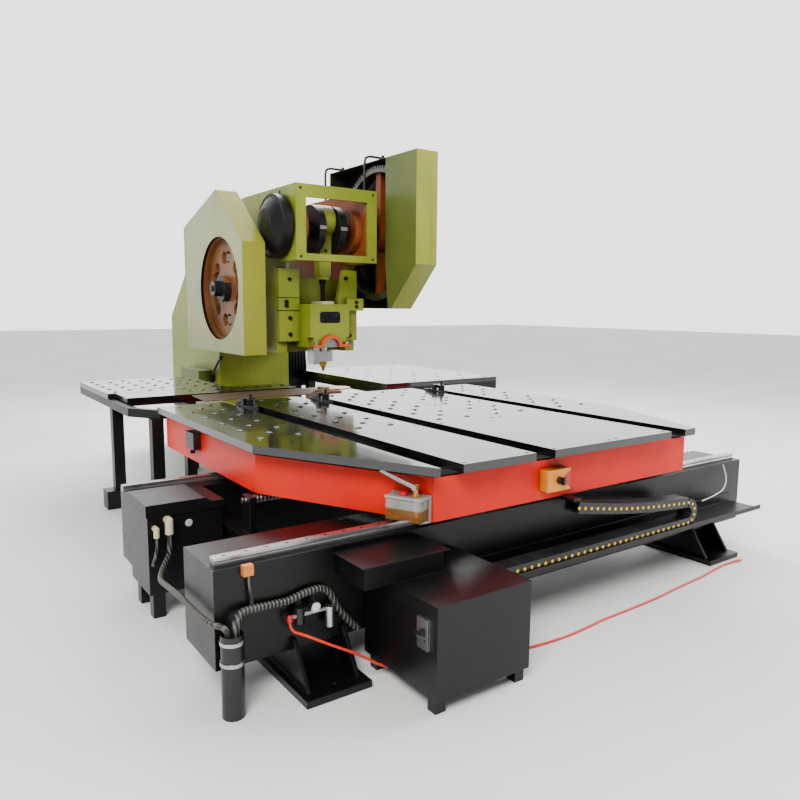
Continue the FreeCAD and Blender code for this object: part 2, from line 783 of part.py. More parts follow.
def plate_spans():
    half = slot_width / 2
    left, right = skirt_left - overhang, skirt_right + overhang
    return [(left, slot_1 - half), (slot_1 + half, slot_2 - half), (slot_2 + half, plate_seam - 0.5),
            (plate_seam + 0.5, slot_3 - half), (slot_3 + half, right)]


def unit_spots(columns, y0, y1, pitch):
    """Ball units in columns, every second column shifted by half a pitch."""
    spots = []
    for k, x in enumerate(columns):
        y = y0 + (pitch / 2 if k % 2 else 0)
        while y <= y1:
            spots.append((x, y))
            y += pitch
    return spots


def table_units():
    spots = []
    for x0, x1 in plate_spans():
        columns = [x0 + 108 * (k + 1) for k in range(3)]
        spots += unit_spots(columns, unit_front, skirt_back - 50, unit_pitch)
    return spots


def ball_unit(x, y, top):
    """Flanged cup and its ball, seated in a round hole."""
    cup = spin([(-18, 0), (-18, unit_body_r), (0, unit_body_r), (0, unit_flange_r),
                (2.5, unit_flange_r - 0.5),
                (5, unit_ball_r + 2.5), (5, 0)], (x, y, top), False)
    centre = unit_rise - unit_ball_r
    cup = cup.cut(Part.makeSphere(unit_ball_r + 0.15, V(x, y, top + centre)))
    return [cup, Part.makeSphere(unit_ball_r, V(x, y, top + centre))]


def drilled(plate, spots, z0, z1):
    holes = [rod_z(z0 - 1, z1 + 1, x, y, unit_body_r + 0.1) for x, y in spots]
    return plate.cut(holes) if holes else plate


def table_plates():
    outline = prism_z(skirt_outline(overhang, front_overhang), plate_top - plate_thick, plate_top)
    spots = table_units()
    for x0, x1 in plate_spans():
        strip = box(x0, x1, skirt_front - 200, skirt_back + overhang - 30, plate_top - plate_thick,
                    plate_top)
        plate = outline.common(strip)
        add("table_plates", drilled(plate, [s for s in spots if x0 < s[0] < x1], plate_top - plate_thick,
                                    plate_top))
    for x, y in spots:
        add("table_ball_units", ball_unit(x, y, plate_top))


def table_frame():
    low, high = table_frame_low, plate_top - plate_thick
    front, back = skirt_front + skirt_wall + 2, skirt_back - skirt_wall - 2
    x0, x1 = front_left + 12, front_right - 12
    parts = [box(x0, x1, front, front + 60, low, high),
             box(skirt_left + 12, skirt_right - 12, back - 60, back, low, high)]
    for x in (slot_1, slot_3):
        parts.append(box(x - 50, x + 50, front + 60, back, low, low + 60))
    for a, b in plate_spans():
        for x in (max(a + 60, skirt_left + 60), min(b - 60, skirt_right - 60)):
            start = front if x0 < x - 20 and x + 20 < x1 else skirt_front + chamfer_depth + 20
            parts.append(box(x - 20, x + 20, start, back, high - 30, high))
    for x in (skirt_left + 60, skirt_right - 60):
        parts.append(box(x - 20, x + 20, skirt_front + chamfer_depth + 20, back, low, high))
    for sign, corner, side in ((-1, front_left, skirt_left), (1, front_right, skirt_right)):
        a, b = corner - sign * 40 - 22, side - sign * 60
        y_a, y_b = front + 30, skirt_front + chamfer_depth + 60
        parts.append(prism_z([(a, y_a), (a + 44, y_a), (b + 22, y_b), (b - 22, y_b)], low, high))
    parts += [box(-170, -120, front - 96, front + 60, skirt_low - 18, skirt_low - 2),
              box(-170, -120, front + 4, front + 60, skirt_low - 18, low + 1),
              box(-180, -120, x_screw_y - 50, x_screw_y + 50, x_screw_z - 40, low + 1),
              box(slot_1, slot_3, x_screw_y - 50, x_screw_y + 50, low, low + 40)]
    bores = [rod_x(-181, -119, x_screw_y, x_screw_z, x_screw_r + run_gap),
             rod_y(front - 1, front + 61, y_screw_x, y_screw_z, y_screw_r + run_gap),
             rod_y(back - 61, back + 1, y_screw_x, y_screw_z, y_screw_r + run_gap)]
    add("table_frame", welded([part.cut(bores) for part in parts]))
    for x in (slot_1, slot_3):
        rail = box(x - 14, x + 14, front + 260, back - 62, low + 60, low + 82)
        add("table_frame", rail)


def rail_carriages():
    top = beam_high + rail_height
    for y in (front_rail_y, rear_rail_y):
        for x in (carriage_left, carriage_right):
            half = carriage_length / 2
            block = box(x - half, x + half, y - 50, y + 50, beam_high + 6, table_frame_low)
            block = block.cut(box(x - half - 1, x + half + 1, y - rail_width / 2 - 0.5,
                                  y + rail_width / 2 + 0.5,
                                  beam_high, top + 0.5))
            add("rail_carriages", block)


def y_screw():
    front, back = skirt_front + skirt_wall + 2, skirt_back - skirt_wall - 2
    screw = rod_y(front, back, y_screw_x, y_screw_z, y_screw_r)
    pulley = rod_y(front + 62, front + 92, y_screw_x, y_screw_z, 30)
    add("y_screw", join([screw, pulley]))


# ---------------------------------------------------------------- clamps

def clamp_beam():
    beam = box(slot_1 - 60, slot_3 + 60, clamp_y - 60, clamp_y + 60, 750, 798)
    blocks = []
    for x in (slot_1, slot_3):
        block = box(x - 34, x + 34, clamp_y - 70, clamp_y + 70, 706, 751)
        blocks.append(block.cut(box(x - 14.5, x + 14.5, clamp_y - 71, clamp_y + 71, 705, 722.5)))
    beam = join([beam] + blocks).cut(rod_y(clamp_y - 61, clamp_y + 61, y_screw_x, y_screw_z,
                                           y_screw_r + run_gap))
    add("clamp_beam", beam)


def jaw_pivot():
    return clamp_y + 10, 918.0


def clamps():
    py, pz = jaw_pivot()
    for x in (slot_1, slot_2, slot_3):
        post = box(x - 44, x + 44, clamp_y - 58, clamp_y + 40, 798, jaw_low)
        lower = prism_x([(clamp_y + 40, 846), (clamp_y + 40, jaw_low), (clamp_y + 150, jaw_low),
                         (clamp_y + 150, 880)],
                        x - 40, x + 40)
        back = rod_z(jaw_low, 929, x, clamp_y - 34, 26)
        ears = [box(x + s * 36 - 8, x + s * 36 + 8, py - 22, py + 22, jaw_low, pz + 16) for s in (-1, 1)]
        body = join([post, lower, back] + ears).cut(rod_x(x - 45, x + 45, py, pz, 6))
        pin = rod_x(x - 46, x + 46, py, pz, 6)
        cylinder = rod_z(929, 965, x, clamp_y - 34, 9)
        add("clamp_bodies", [body, pin, cylinder])
        arm = [(py - 16, pz - 10), (py - 16, pz + 12), (py + 20, pz + 14), (clamp_y + 150, 901),
               (clamp_y + 150, jaw_high),
               (clamp_y + 110, jaw_high), (clamp_y + 100, 897), (py + 20, pz - 12)]
        jaw = prism_x(arm, x - 27.5, x + 27.5).fuse(rod_x(x - 27.5, x + 27.5, py, pz, 16))
        add("clamp_jaws", jaw.cut(rod_x(x - 30, x + 30, py, pz, 6 + run_gap)).removeSplitter())


# ---------------------------------------------------------------- controls on the table

def on_chamfer(shape):
    """Carry a shape drawn at the corner, flat against -Y, round to the left chamfer."""
    lean = math.degrees(math.atan2(-chamfer_depth, front_left - skirt_left))
    shape.rotate(V(0, 0, 0), V(0, 0, 1), lean)
    shape.translate(V(front_left, skirt_front, 0))
    return shape


def lubricator():
    low, high = 622.0, 720.0
    tank = box(-196, -20, -84, -10, low, high).cut(box(-191, -25, -79, -15, low + 5, high + 1))
    lid = box(-200, -16, -88, -10, high, high + 9).cut(rod_z(high - 1, high + 10, -66, -46, 12.1))
    pump = join([rod_z(low + 12, high + 60, -66, -46, 12), rod_z(high + 9, high + 22, -66, -46, 20),
                 box(-78, -54, -56, -36, high + 40, high + 62)]).cut(rod_y(-59, -33, -66, high + 51, 5))
    cap = rod_z(high + 9, high + 26, -126, -46, 21)
    back = box(-206, -10, -10, -0.5, low - 8, high + 12)
    add("lubricator", [on_chamfer(s) for s in (tank, lid, pump, cap, back)])


def handle_pivot():
    pivot = on_chamfer(Part.Vertex(-66, -46, 771.0))
    return pivot.Point


def lubricator_handle():
    pin = rod_y(-60, -34.5, -66, 771, 5 - run_gap)
    blade = prism_y([(-56, 763), (-56, 779), (-150, 812), (-232, 838), (-238, 826), (-150, 793)], -65, -58.5)
    fork = prism_y([(-76, 761), (-56, 761), (-56, 781), (-76, 781)], -65, -58.5)
    add("lubricator_handle", on_chamfer(join([pin, blade, fork])))


def table_switches():
    x, z = -247.0, 711.0
    case = box(x - 82, x + 82, skirt_front - 52, skirt_front - 0.5, z - 55, z + 55)
    case = case.makeFillet(6, [e for e in case.Edges if abs(e.Length - 51.5) < 0.01])
    case = case.cut(rod_y(skirt_front - 53, skirt_front - 20, x, z, 13))
    button = rod_y(skirt_front - 60, skirt_front - 52, x + 52, z, 12)
    feeler = box(skirt_left - 46, skirt_left - 0.5, -1100, -960, 700, 800)
    roller = rod_x(skirt_left - 44, skirt_left - 14, -1030, 680, 12)
    add("table_switches", [case, button, join([feeler,
                                               box(skirt_left - 34, skirt_left - 24, -1036, -1024, 680,
                                                   702), roller])])


def selector_knob():
    x, z = -247.0, 711.0
    y = skirt_front - 52
    knob = rod_y(y - 24, y - 2, x, z, 19)
    grip = box(x - 6, x + 6, y - 38, y - 22, z - 19, z + 19)
    stem = rod_y(y - 3, skirt_front - 22, x, z, 13 - run_gap)
    add("selector_knob", join([knob, grip, stem]))


# ---------------------------------------------------------------- cable chain

def link(x, z, lean):
    """One hollow link, its pitch along X before it is leaned about Y."""
    half = chain_pitch / 2 - 0.6
    y0, y1 = chain_front, chain_front + 96
    outer = box(x - half, x + half, y0, y1, z - link_half, z + link_half)
    room = link_half - 8
    shape = outer.cut(box(x - half - 1, x + half + 1, y0 + 9, y1 - 9, z - room, z + room))
    shape.rotate(V(x, 0, z), V(0, 1, 0), -lean)
    return shape


def bend_link(x, z, start, end):
    """One hollow link of the bend, between two angles about the bend's centre."""
    y0, y1 = chain_front, chain_front + 96

    def wedge(r0, r1, a0, a1):
        return [(x + r * math.cos(a), z + r * math.sin(a)) for r,
                a in ((r0, a0), (r1, a0), (r1, a1), (r0, a1))]

    outer = prism_y(wedge(turn_r - link_half, turn_r + link_half, start + 0.012, end - 0.012), y0, y1)
    room = link_half - 8
    return outer.cut(prism_y(wedge(turn_r - room, turn_r + room, start - 0.1, end + 0.1), y0 + 9, y1 - 9))


def chain():
    low_z = tray_z + 36
    for k in range(33):
        add("chain_lower", link(turn_x - chain_pitch * (k + 0.5), low_z, 0))
    for k in range(5):
        add("chain_lower", bend_link(turn_x, low_z + turn_r, math.pi * (k / 5 - 0.5),
                                     math.pi * ((k + 1) / 5 - 0.5)))
    start_z = low_z + 2 * turn_r + 4
    span = 20
    rise, sag = 118, 16
    for k in range(span):
        t = (k + 0.5) / span
        lift = rise * t - sag * math.sin(math.pi * t)
        slope = (rise - sag * math.pi * math.cos(math.pi * t)) / (span * chain_pitch)
        add("chain_upper", link(turn_x - 8 - chain_pitch * (k + 0.5), start_z + lift,
                                -math.degrees(math.atan(slope))))


def chain_tray():
    y0 = beam_front - 214
    floor = box(tray_left, tray_right, y0, beam_front - 0.5, tray_z, tray_z + 6)
    lip = box(tray_left, tray_right, y0, y0 + 6, tray_z, tray_z + 26)
    back = box(tray_left, tray_right, beam_front - 6.5, beam_front - 0.5, tray_z, tray_z + 60)
    arms = [prism_x([(beam_front - 0.5, tray_z - 90), (beam_front - 0.5, tray_z), (y0 + 30, tray_z)], x,
                    x + 8)
            for x in (-560, 60, 760, 1480)]
    add("chain_tray", join([floor, lip, back] + arms))


# ---------------------------------------------------------------- base

def hollow_beam(x0, x1, y0, y1):
    w = beam_wall
    return box(x0, x1, y0, y1, beam_low, beam_high).cut(
        box(x0 + w, x1 - w, y0 + w, y1 - w, beam_low + w, beam_high - w))


def base_beams():
    back = beam_front + beam_depth
    front = hollow_beam(beam_left, beam_right, beam_front, back)
    rear = hollow_beam(beam_left + 40, beam_right, rear_beam_y, rear_beam_y + rear_beam_depth)
    add("base_beams", [front, rear])


def beam_feet():
    back = beam_front + beam_depth
    for x in (foot_left, foot_right):
        half = foot_width / 2
        plate = box(x - half, x + half, beam_front - foot_reach, back + 60, 0, foot_plate)
        plate = plate.cut(rod_z(-1, foot_plate + 1, x, beam_front - foot_reach + 50, 16))
        post = box(x - 120, x + 120, beam_front + 20, back - 20, foot_plate, beam_low)
        ribs = [prism_x([(beam_front - 140, foot_plate), (beam_front + 21, foot_plate),
                         (beam_front + 21, beam_low),
                         (beam_front - 2, beam_low), (beam_front - 2, 210), (beam_front - 20, 210)],
                         r - 9, r + 9)
                for r in (x - 114, x + 114)]
        add("cross_members", join([plate, post] + ribs))
        rear = join([box(x - half, x + half, rear_beam_y - 30, rear_beam_y + rear_beam_depth + 30, 0,
                         foot_plate),
                     box(x - 100, x + 100, rear_beam_y + 20, rear_beam_y + rear_beam_depth - 20,
                         foot_plate, beam_low)])
        add("cross_members", rear)


def cross_members():
    front, back = beam_front + beam_depth, rear_beam_y
    for x in (-1480.0, 100.0, 1560.0):
        add("cross_members", box(x - 60, x + 60, front, back, 300, 300 + cross_side))
    for x in (-300.0, 300.0):
        add("cross_members", box(x - 50, x + 50, rear_beam_y + rear_beam_depth, bed_front, 200, 300))
    for x in (-1480.0, 1560.0):
        bracket = box(x - 16, x + 16, x_screw_y - 50, x_screw_y + 50, 300 + cross_side, skirt_low - 3)
        add("cross_members", bracket.cut(rod_x(x - 17, x + 17, x_screw_y, x_screw_z, x_journal_r + run_gap)))


def x_screw():
    journals = rod_x(-1520, 1576, x_screw_y, x_screw_z, x_journal_r)
    screw = rod_x(-1440, 1540, x_screw_y, x_screw_z, x_screw_r)
    collar = rod_x(-1462, -1440, x_screw_y, x_screw_z, x_collar_r)
    add("x_screw", join([journals, screw, collar]))


def x_rails():
    for y in (front_rail_y, rear_rail_y):
        half = rail_width / 2
        section = [(y - half, 0), (y + half, 0), (y + half, 10), (y + half - 6, 15), (y + half, 20),
                   (y + half, rail_height), (y - half, rail_height), (y - half, 20), (y - half + 6, 15),
                   (y - half, 10)]
        add("x_rails", prism_x([(a, beam_high + b) for a, b in section], rail_left, rail_right))


# ---------------------------------------------------------------- cabinets and services

def servo_cabinet():
    y1 = rear_beam_y - 20
    case = box(servo_left, servo_right, servo_front, y1, servo_low, servo_high - 60)
    case = case.cut(box(servo_left + 3, servo_right - 3, servo_front + 3, y1 - 3, servo_low + 3,
                        servo_high - 59))
    lid = prism_y([(servo_left - 8, servo_high - 62), (servo_right + 8, servo_high - 62),
                   (servo_right + 8, servo_high - 22),
                   (servo_right - 60, servo_high - 22), (servo_right - 90, servo_high),
                   (servo_left - 8, servo_high)],
                  servo_front - 8, y1 + 8)
    lid = lid.cut(box(servo_left - 4, servo_right + 4, servo_front - 4, y1 + 4, servo_low, servo_high - 60))
    legs = [box(x, x + 60, y, y + 60, 0, servo_low) for x in (servo_left + 20, servo_right - 80)
            for y in (servo_front + 20, y1 - 80)]
    glands = [join([rod_y(servo_front - 30, servo_front, x, z, r),
                    rod_z(z - drop, z, x, servo_front - 30, r),
                    Part.makeSphere(r, V(x, servo_front - 30, z))])
              for x, z, r, drop in ((gland_x(), 505.0, 20.0, 66.0), (gland_x() - 62, 470.0, 14.0, 40.0))]
    add("servo_cabinet", [join([case] + legs), lid] + glands)


def gland_x():
    return servo_left + 96


def control_cabinet():
    w = 3
    case = box(console_left, console_right, console_front, beam_front - 8, console_low, console_high)
    case = case.cut(box(console_left + w, console_right - w, console_front + w, beam_front - 8 - w,
                        console_low + w,
                        console_high - w))
    feet = [box(x, x + 50, y, y + 50, 0, console_low) for x in (console_left + 10, console_right - 60)
            for y in (console_front + 20, beam_front - 90)]
    box_top = box(lid_left + 20, lid_right - 20, lid_front + 20, beam_front - 3, console_high, lid_high - 6)
    lid = box(lid_left, lid_right, lid_front, beam_front - 3, lid_high - 6, lid_high)
    x, y, z = breaker_place()
    plate = box(x - 12, x, y - 34, y + 34, z - 62, z + 62).cut(rod_y(y - 20, y + 20, x - 12, z, 8))
    add("control_cabinet", [join([case] + feet), box_top, lid, plate])


def breaker_place():
    return console_left, -3118.0, 312.0


def breaker_toggle():
    x, y, z = breaker_place()
    pivot = rod_y(y - 19.5, y + 19.5, x - 12, z, 8 - run_gap)
    lever = box(x - 36, x - 12, y - 16, y + 16, z - 6, z + 6)
    lever.rotate(V(x - 12, y, z), V(0, 1, 0), 25)
    add("breaker_toggle", join([pivot, lever]))


def air_regulator():
    y = beam_front - 40
    z = 318.0
    body = join([rod_z(z - 33, z + 34, -1620, y, 20), box(-1636, -1604, y + 10, y + 39.5, z - 14, z + 14)])
    pipe = rod_x(-1664, -1474, y, z, 9)
    bowl = rod_z(z - 78, z + 8, -1482, y, 20)
    hose_tail = join([rod_z(z - 18, z, -1664, y, 11), Part.makeSphere(11, V(-1664, y, z))])
    gauge = join([rod_z(z, z + 10, -1556, y, 6), rod_y(y - 22, y, -1556, z + 26, 21)])
    add("air_regulator", join([body, pipe, bowl, hose_tail, gauge]))


def terminal_boxes():
    y = beam_front
    add("terminal_boxes", box(-1850, -1808, y - 30, y - 0.5, 524, 566))
    add("terminal_boxes", box(-frame_half_width - 137, -frame_half_width - 0.5, 1590, 2120, 700, 915))


def riser():
    x, y = riser_x, beam_front - 66
    hose = rod_z(0, 330, x, y, 44).cut(rod_z(1, 331, x, y, 40))
    bands = [rod_z(z, z + 14, x, y, 48).cut(rod_z(z - 1, z + 15, x, y, 44)) for z in (212, 294)]
    add("riser_hose", [hose] + bands)


def conduits():
    y = beam_front
    gx, gy = gland_x(), servo_front - 30
    rx, ry = riser_x, beam_front - 66
    routes = [
        ("servo conduit", [(gx, gy, 438.5), (gx, gy, 400), (gx - 12, gy - 30, 352), (gx - 76, gy - 130, 322),
                           (-1984, gy - 290, 330), (-1994, gy - 460, 356), (-1996, gy - 630, 371),
                           (-1994, gy - 790, 367), (-1988, gy - 930, 372), (rx - 17, ry, 352),
                           (rx - 17, ry, 296)], 12),
        ("gland lead", [(gx - 62, gy, 429.5), (gx - 62, gy, 396), (gx - 72, gy - 14, 350),
                        (gx - 100, gy - 50, 310)], 8),
        ("beam bundle", [(rx + 13, ry, 292), (rx + 13, ry, 352), (-1868, y - 30, 391), (-1740, y - 22, 384),
                         (-1655, y - 22, 381), (-1590, y - 22, 400), (-1512, y - 22, 404),
                         (-1468, y - 22, 372),
                         (-1440, y - 22, 306), (-1390, y - 24, 240), (-1338, y - 26, 182)], 16),
        ("box drop", [(-1823, y - 18, 523.5), (-1823, y - 18, 488), (-1817, y - 21, 446),
                      (-1817, y - 21, 405)], 7),
        ("end wire", [(1420, y - 30, 560), (1424, y - 60, 470), (1330, y - 96, 420), (1190, y - 110, 402),
                      (1060, y - 120, 396)], 4),
    ]
    for name, route, r in routes:
        add("conduits", tube(name, route, r))


# The red air hose drops from the regulator, then lies along the floor to its coupling.
RED_HOSE = [(-1664, -2720, 299.5), (-1662, -2722, 262), (-1618, -2740, 244), (-1558, -2772, 213),
            (-1486, -2792, 173),
            (-1405, -2812, 131), (-1286, -2822, 44), (-1192, -2844, 12), (-1080, -2886, 6), (-960, -2936, 6),
            (-830, -2966, 6), (-690, -2986, 6), (-535, -3010, 6), (-380, -3022, 6), (-225, -3014, 6),
            (-75, -2998, 6),
            (80, -2996, 6), (236, -2992, 6), (396, -2986, 6), (560, -2968, 6), (724, -2956, 6),
            (884, -2946, 6),
            (1040, -2922, 6), (1180, -2908, 6), (1290, -2920, 9.8)]


def red_hose():
    r = 6
    add("red_hose", tube("red hose", RED_HOSE, r))
    end, before = V(*RED_HOSE[-1]), V(*RED_HOSE[-2])
    along = (end - before).normalize()
    tail = Part.makeCylinder(r, 34, end, along)
    sleeve = Part.makeCylinder(9, 26, end + along * 8, along)
    add("hose_coupling", join([tail, sleeve]))


# ---------------------------------------------------------------- wings

def wing_plates():
    for wing, columns, pitch in ((left_wing, 7, 205), (right_wing, 9, 400)):
        x0, x1, y0, y1 = wing
        step = (x1 - x0 - 160) / (columns - 1)
        spots = unit_spots([x0 + 80 + step * k for k in range(columns)], y0 + 90, y1 - 60, pitch)
        plate = box(x0, x1, y0, y1, plate_top - 12, plate_top)
        rim = box(x0, x1, y0, y1, plate_top - plate_thick, plate_top - 12).cut(
            box(x0 + 40, x1 - 40, y0 + 40, y1 - 40, plate_top - plate_thick - 1, plate_top - 11))
        add("wing_plates", drilled(join([plate, rim]), spots, plate_top - 20, plate_top))
        for x, y in spots:
            add("wing_ball_units", ball_unit(x, y, plate_top))
    spots = [(bar_left + 520 + 116 * k, 350) for k in range(8)]
    bar = box(bar_left, bar_right, bar_front, bar_back, plate_top - 60, plate_top)
    bar = bar.cut(box(bar_left + 8, bar_right - 8, bar_front + 8, bar_back - 8, plate_top - 61,
                      plate_top - 20))
    add("wing_plates", drilled(bar, spots, plate_top - 20, plate_top))
    for x, y in spots:
        add("wing_ball_units", ball_unit(x, y, plate_top))
    strip = prism_z([(-1110, -270), (-300, -300), (-170, -170), (-170, 96), (-1080, 96)], plate_top - 9,
                    plate_top - 3)
    add("wing_plates", strip)


def wing_frames():
    top = plate_top - plate_thick
    s = leg_side
    x0, x1, y0, y1 = left_wing
    legs = [(x0 + 14, y0 - 60), (-1500, wing_front), (x1 - s + 50, y1 - s), (-1020, y0 - 60)]
    rails = [prism_z([(x0, y1), (x0, -90), (-1444, wing_front), (-1400, wing_front),
                      (-1400, wing_front + 40),
                      (-1426, wing_front + 40), (x0 + 44, -76), (x0 + 44, y1)], top - 60, top),
             box(x0, x1, y1 - 44, y1, top - 60, top), box(x1 - 44, x1, y0, y1, top - 60, top),
             box(x1 - 1, x1 + 50, y1 - s, y1, top - 60, top),
             box(x0, x1, y0 + 2, y0 + 46, top - 60, top),
             box(-1410, -1080, wing_front, wing_front + 44, top - 60, top),
             box(-1124, -1080, wing_front, y0 + 10, top - 60, plate_top - 60)]
    rest = [box(bar_left, bar_left + 44, -90, y0 + 10, top - 60, plate_top - 60)]
    columns = [box(x, x + s, y, y + s, 121, top - 59) for x, y in legs]
    sill = box(-1650, -frame_half_width - 1, y0 - 90, y0 + 50, 0, 140)
    pads = [box(x - 10, x + s + 10, y - 10, y + s + 10, 0, 121) for x, y in (legs[1], legs[2])]
    add("wing_frames", welded(columns + [sill] + pads + rails + rest))
    x0, x1, y0, y1 = right_wing
    ring = [box(x0, x1, y, y + 44, top - 60, top) for y in (y0, y1 - 44)]
    ring += [box(x, x + 44, y0 + 44, y1 - 44, top - 60, top) for x in (x0, x1 - 44)]
    posts = [box(x, x + s, y, y + s, 0, top - 60) for x in (x0 + 60, x1 - s) for y in (y0, y1 - s)]
    add("wing_frames", welded(ring + posts))


def build():
    press_frame()
    head_plate()
    bearing_bushes()
    crankshaft()
    brake_drum()
    bull_gear()
    pinion_shaft()
    flywheel()
    motor()
    motor_pulley()
    drive_belts()
    belt_guard()
    gear_guard()
    guard_stays()
    connecting_rod()
    ball_screw()
    lock_collar()
    ram()
    ball_cap()
    shank_clamp()
    punch_holder()
    punch()
    gibs()
    press_bolts()
    bolster()
    die_block()
    hand_lever()
    finned_unit()
    table_skirt()
    table_plates()
    table_frame()
    rail_carriages()
    y_screw()
    clamp_beam()
    clamps()
    lubricator()
    lubricator_handle()
    table_switches()
    selector_knob()
    chain()
    chain_tray()
    base_beams()
    cross_members()
    beam_feet()
    x_screw()
    x_rails()
    servo_cabinet()
    control_cabinet()
    breaker_toggle()
    air_regulator()
    terminal_boxes()
    riser()
    conduits()
    red_hose()
    wing_plates()
    wing_frames()


def export():
    os.makedirs("parts", exist_ok=True)
    for name, solids in NODES.items():
        shape = solids[0] if len(solids) == 1 else Part.makeCompound(solids)
        shape.exportStep("parts/" + name + ".step")
    print(len(NODES), "nodes,", sum(len(s) for s in NODES.values()), "solids")


build()
export()
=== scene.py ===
import json
import math

import bmesh
import bpy
from mathutils import Matrix, Vector

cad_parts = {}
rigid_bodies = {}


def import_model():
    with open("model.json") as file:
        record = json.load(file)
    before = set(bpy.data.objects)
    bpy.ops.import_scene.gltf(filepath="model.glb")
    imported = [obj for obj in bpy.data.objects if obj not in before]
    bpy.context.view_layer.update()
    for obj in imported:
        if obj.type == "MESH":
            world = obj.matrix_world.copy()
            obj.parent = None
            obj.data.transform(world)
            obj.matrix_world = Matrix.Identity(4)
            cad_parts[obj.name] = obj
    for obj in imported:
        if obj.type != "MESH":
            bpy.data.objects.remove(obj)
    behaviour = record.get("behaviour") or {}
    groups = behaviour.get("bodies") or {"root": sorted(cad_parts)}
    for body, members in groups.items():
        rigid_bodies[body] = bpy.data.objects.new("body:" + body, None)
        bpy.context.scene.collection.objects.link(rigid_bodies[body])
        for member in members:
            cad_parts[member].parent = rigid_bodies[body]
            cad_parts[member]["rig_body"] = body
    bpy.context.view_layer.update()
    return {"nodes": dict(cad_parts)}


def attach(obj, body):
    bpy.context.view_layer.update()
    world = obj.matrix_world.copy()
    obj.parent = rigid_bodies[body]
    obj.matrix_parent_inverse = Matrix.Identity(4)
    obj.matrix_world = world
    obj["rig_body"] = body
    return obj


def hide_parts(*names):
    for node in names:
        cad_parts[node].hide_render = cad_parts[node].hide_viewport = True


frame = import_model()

nodes = frame["nodes"]


# ---------------------------------------------------------------- camera
# Someone standing off the left front corner of the feeding table, eye a little
# above the table top, looking across it to the press.
eye = bpy.data.objects.new("eye", bpy.data.cameras.new("eye"))
bpy.context.scene.collection.objects.link(eye)
eye.matrix_world = (
    Matrix.Translation((-2.868, -5.186, 1.560))
    @ Matrix.Rotation(math.radians(-35.13), 4, "Z")
    @ Matrix.Rotation(math.radians(90 - 7.56), 4, "X")
    @ Matrix.Rotation(math.radians(0.42), 4, "Z")
)
eye.data.lens = 32.06
eye.data.sensor_width = 36
bpy.context.scene.camera = eye


# ---------------------------------------------------------------- red air hose
# Woven-core rubber hose that drops from the regulator's elbow, runs down to the
# floor and along the front of the machine to a brass coupling.
hose_path = [
    (-1.664, -2.720, 0.2995), (-1.662, -2.722, 0.262), (-1.618, -2.740, 0.244),
    (-1.558, -2.772, 0.213), (-1.486, -2.792, 0.173), (-1.405, -2.812, 0.131),
    (-1.286, -2.822, 0.044), (-1.192, -2.844, 0.012), (-1.080, -2.886, 0.0063),
    (-0.960, -2.936, 0.0063), (-0.830, -2.966, 0.0063), (-0.690, -2.986, 0.0063),
    (-0.535, -3.010, 0.0063), (-0.380, -3.022, 0.0063), (-0.225, -3.014, 0.0063),
    (-0.075, -2.998, 0.0063), (0.080, -2.996, 0.0063), (0.236, -2.992, 0.0063),
    (0.396, -2.986, 0.0063), (0.560, -2.968, 0.0063), (0.724, -2.956, 0.0063),
    (0.884, -2.946, 0.0063), (1.040, -2.922, 0.0063), (1.180, -2.908, 0.0063),
    (1.290, -2.920, 0.0098)]
hose_radius = 0.006
hose_curve = bpy.data.curves.new("air_hose", "CURVE")
hose_curve.dimensions = "3D"
hose_curve.bevel_depth = 1
hose_curve.bevel_resolution = 5
hose_curve.resolution_u = 8
run = hose_curve.splines.new("NURBS")
run.points.add(len(hose_path) - 1)
for knot, place in zip(run.points, hose_path):
    knot.co = (*place, 1)
    knot.radius = hose_radius
run.order_u = 3
run.use_endpoint_u = True
air_hose = bpy.data.objects.new("air_hose", hose_curve)
bpy.context.scene.collection.objects.link(air_hose)
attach(air_hose, "base")
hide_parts("red_hose")


class Wire:
    """A socket in a finish that takes arithmetic, one Math node an operator."""

    def __init__(self, finish, socket):
        self.finish, self.socket = finish, socket

    def math(self, operation, *others):
        values = {n: value for n, value in enumerate((self, *others))}
        return self.finish.node("ShaderNodeMath", {"operation": operation}, values)

    def __add__(self, other):
        return self.math("ADD", other)

    def __mul__(self, other):
        return self.math("MULTIPLY", other)

    def __sub__(self, other):
        return self.math("SUBTRACT", other)

    def __rsub__(self, other):
        return self.math("MULTIPLY_ADD", -1, other)

    __radd__, __rmul__ = __add__, __mul__

    def between(self, low, high):
        """0 below low, 1 above high, and smooth from one to the other."""
        return self.finish.node("ShaderNodeMapRange", {"interpolation_type": "SMOOTHSTEP"},
                                {"Value": self, "From Min": low, "From Max": high})


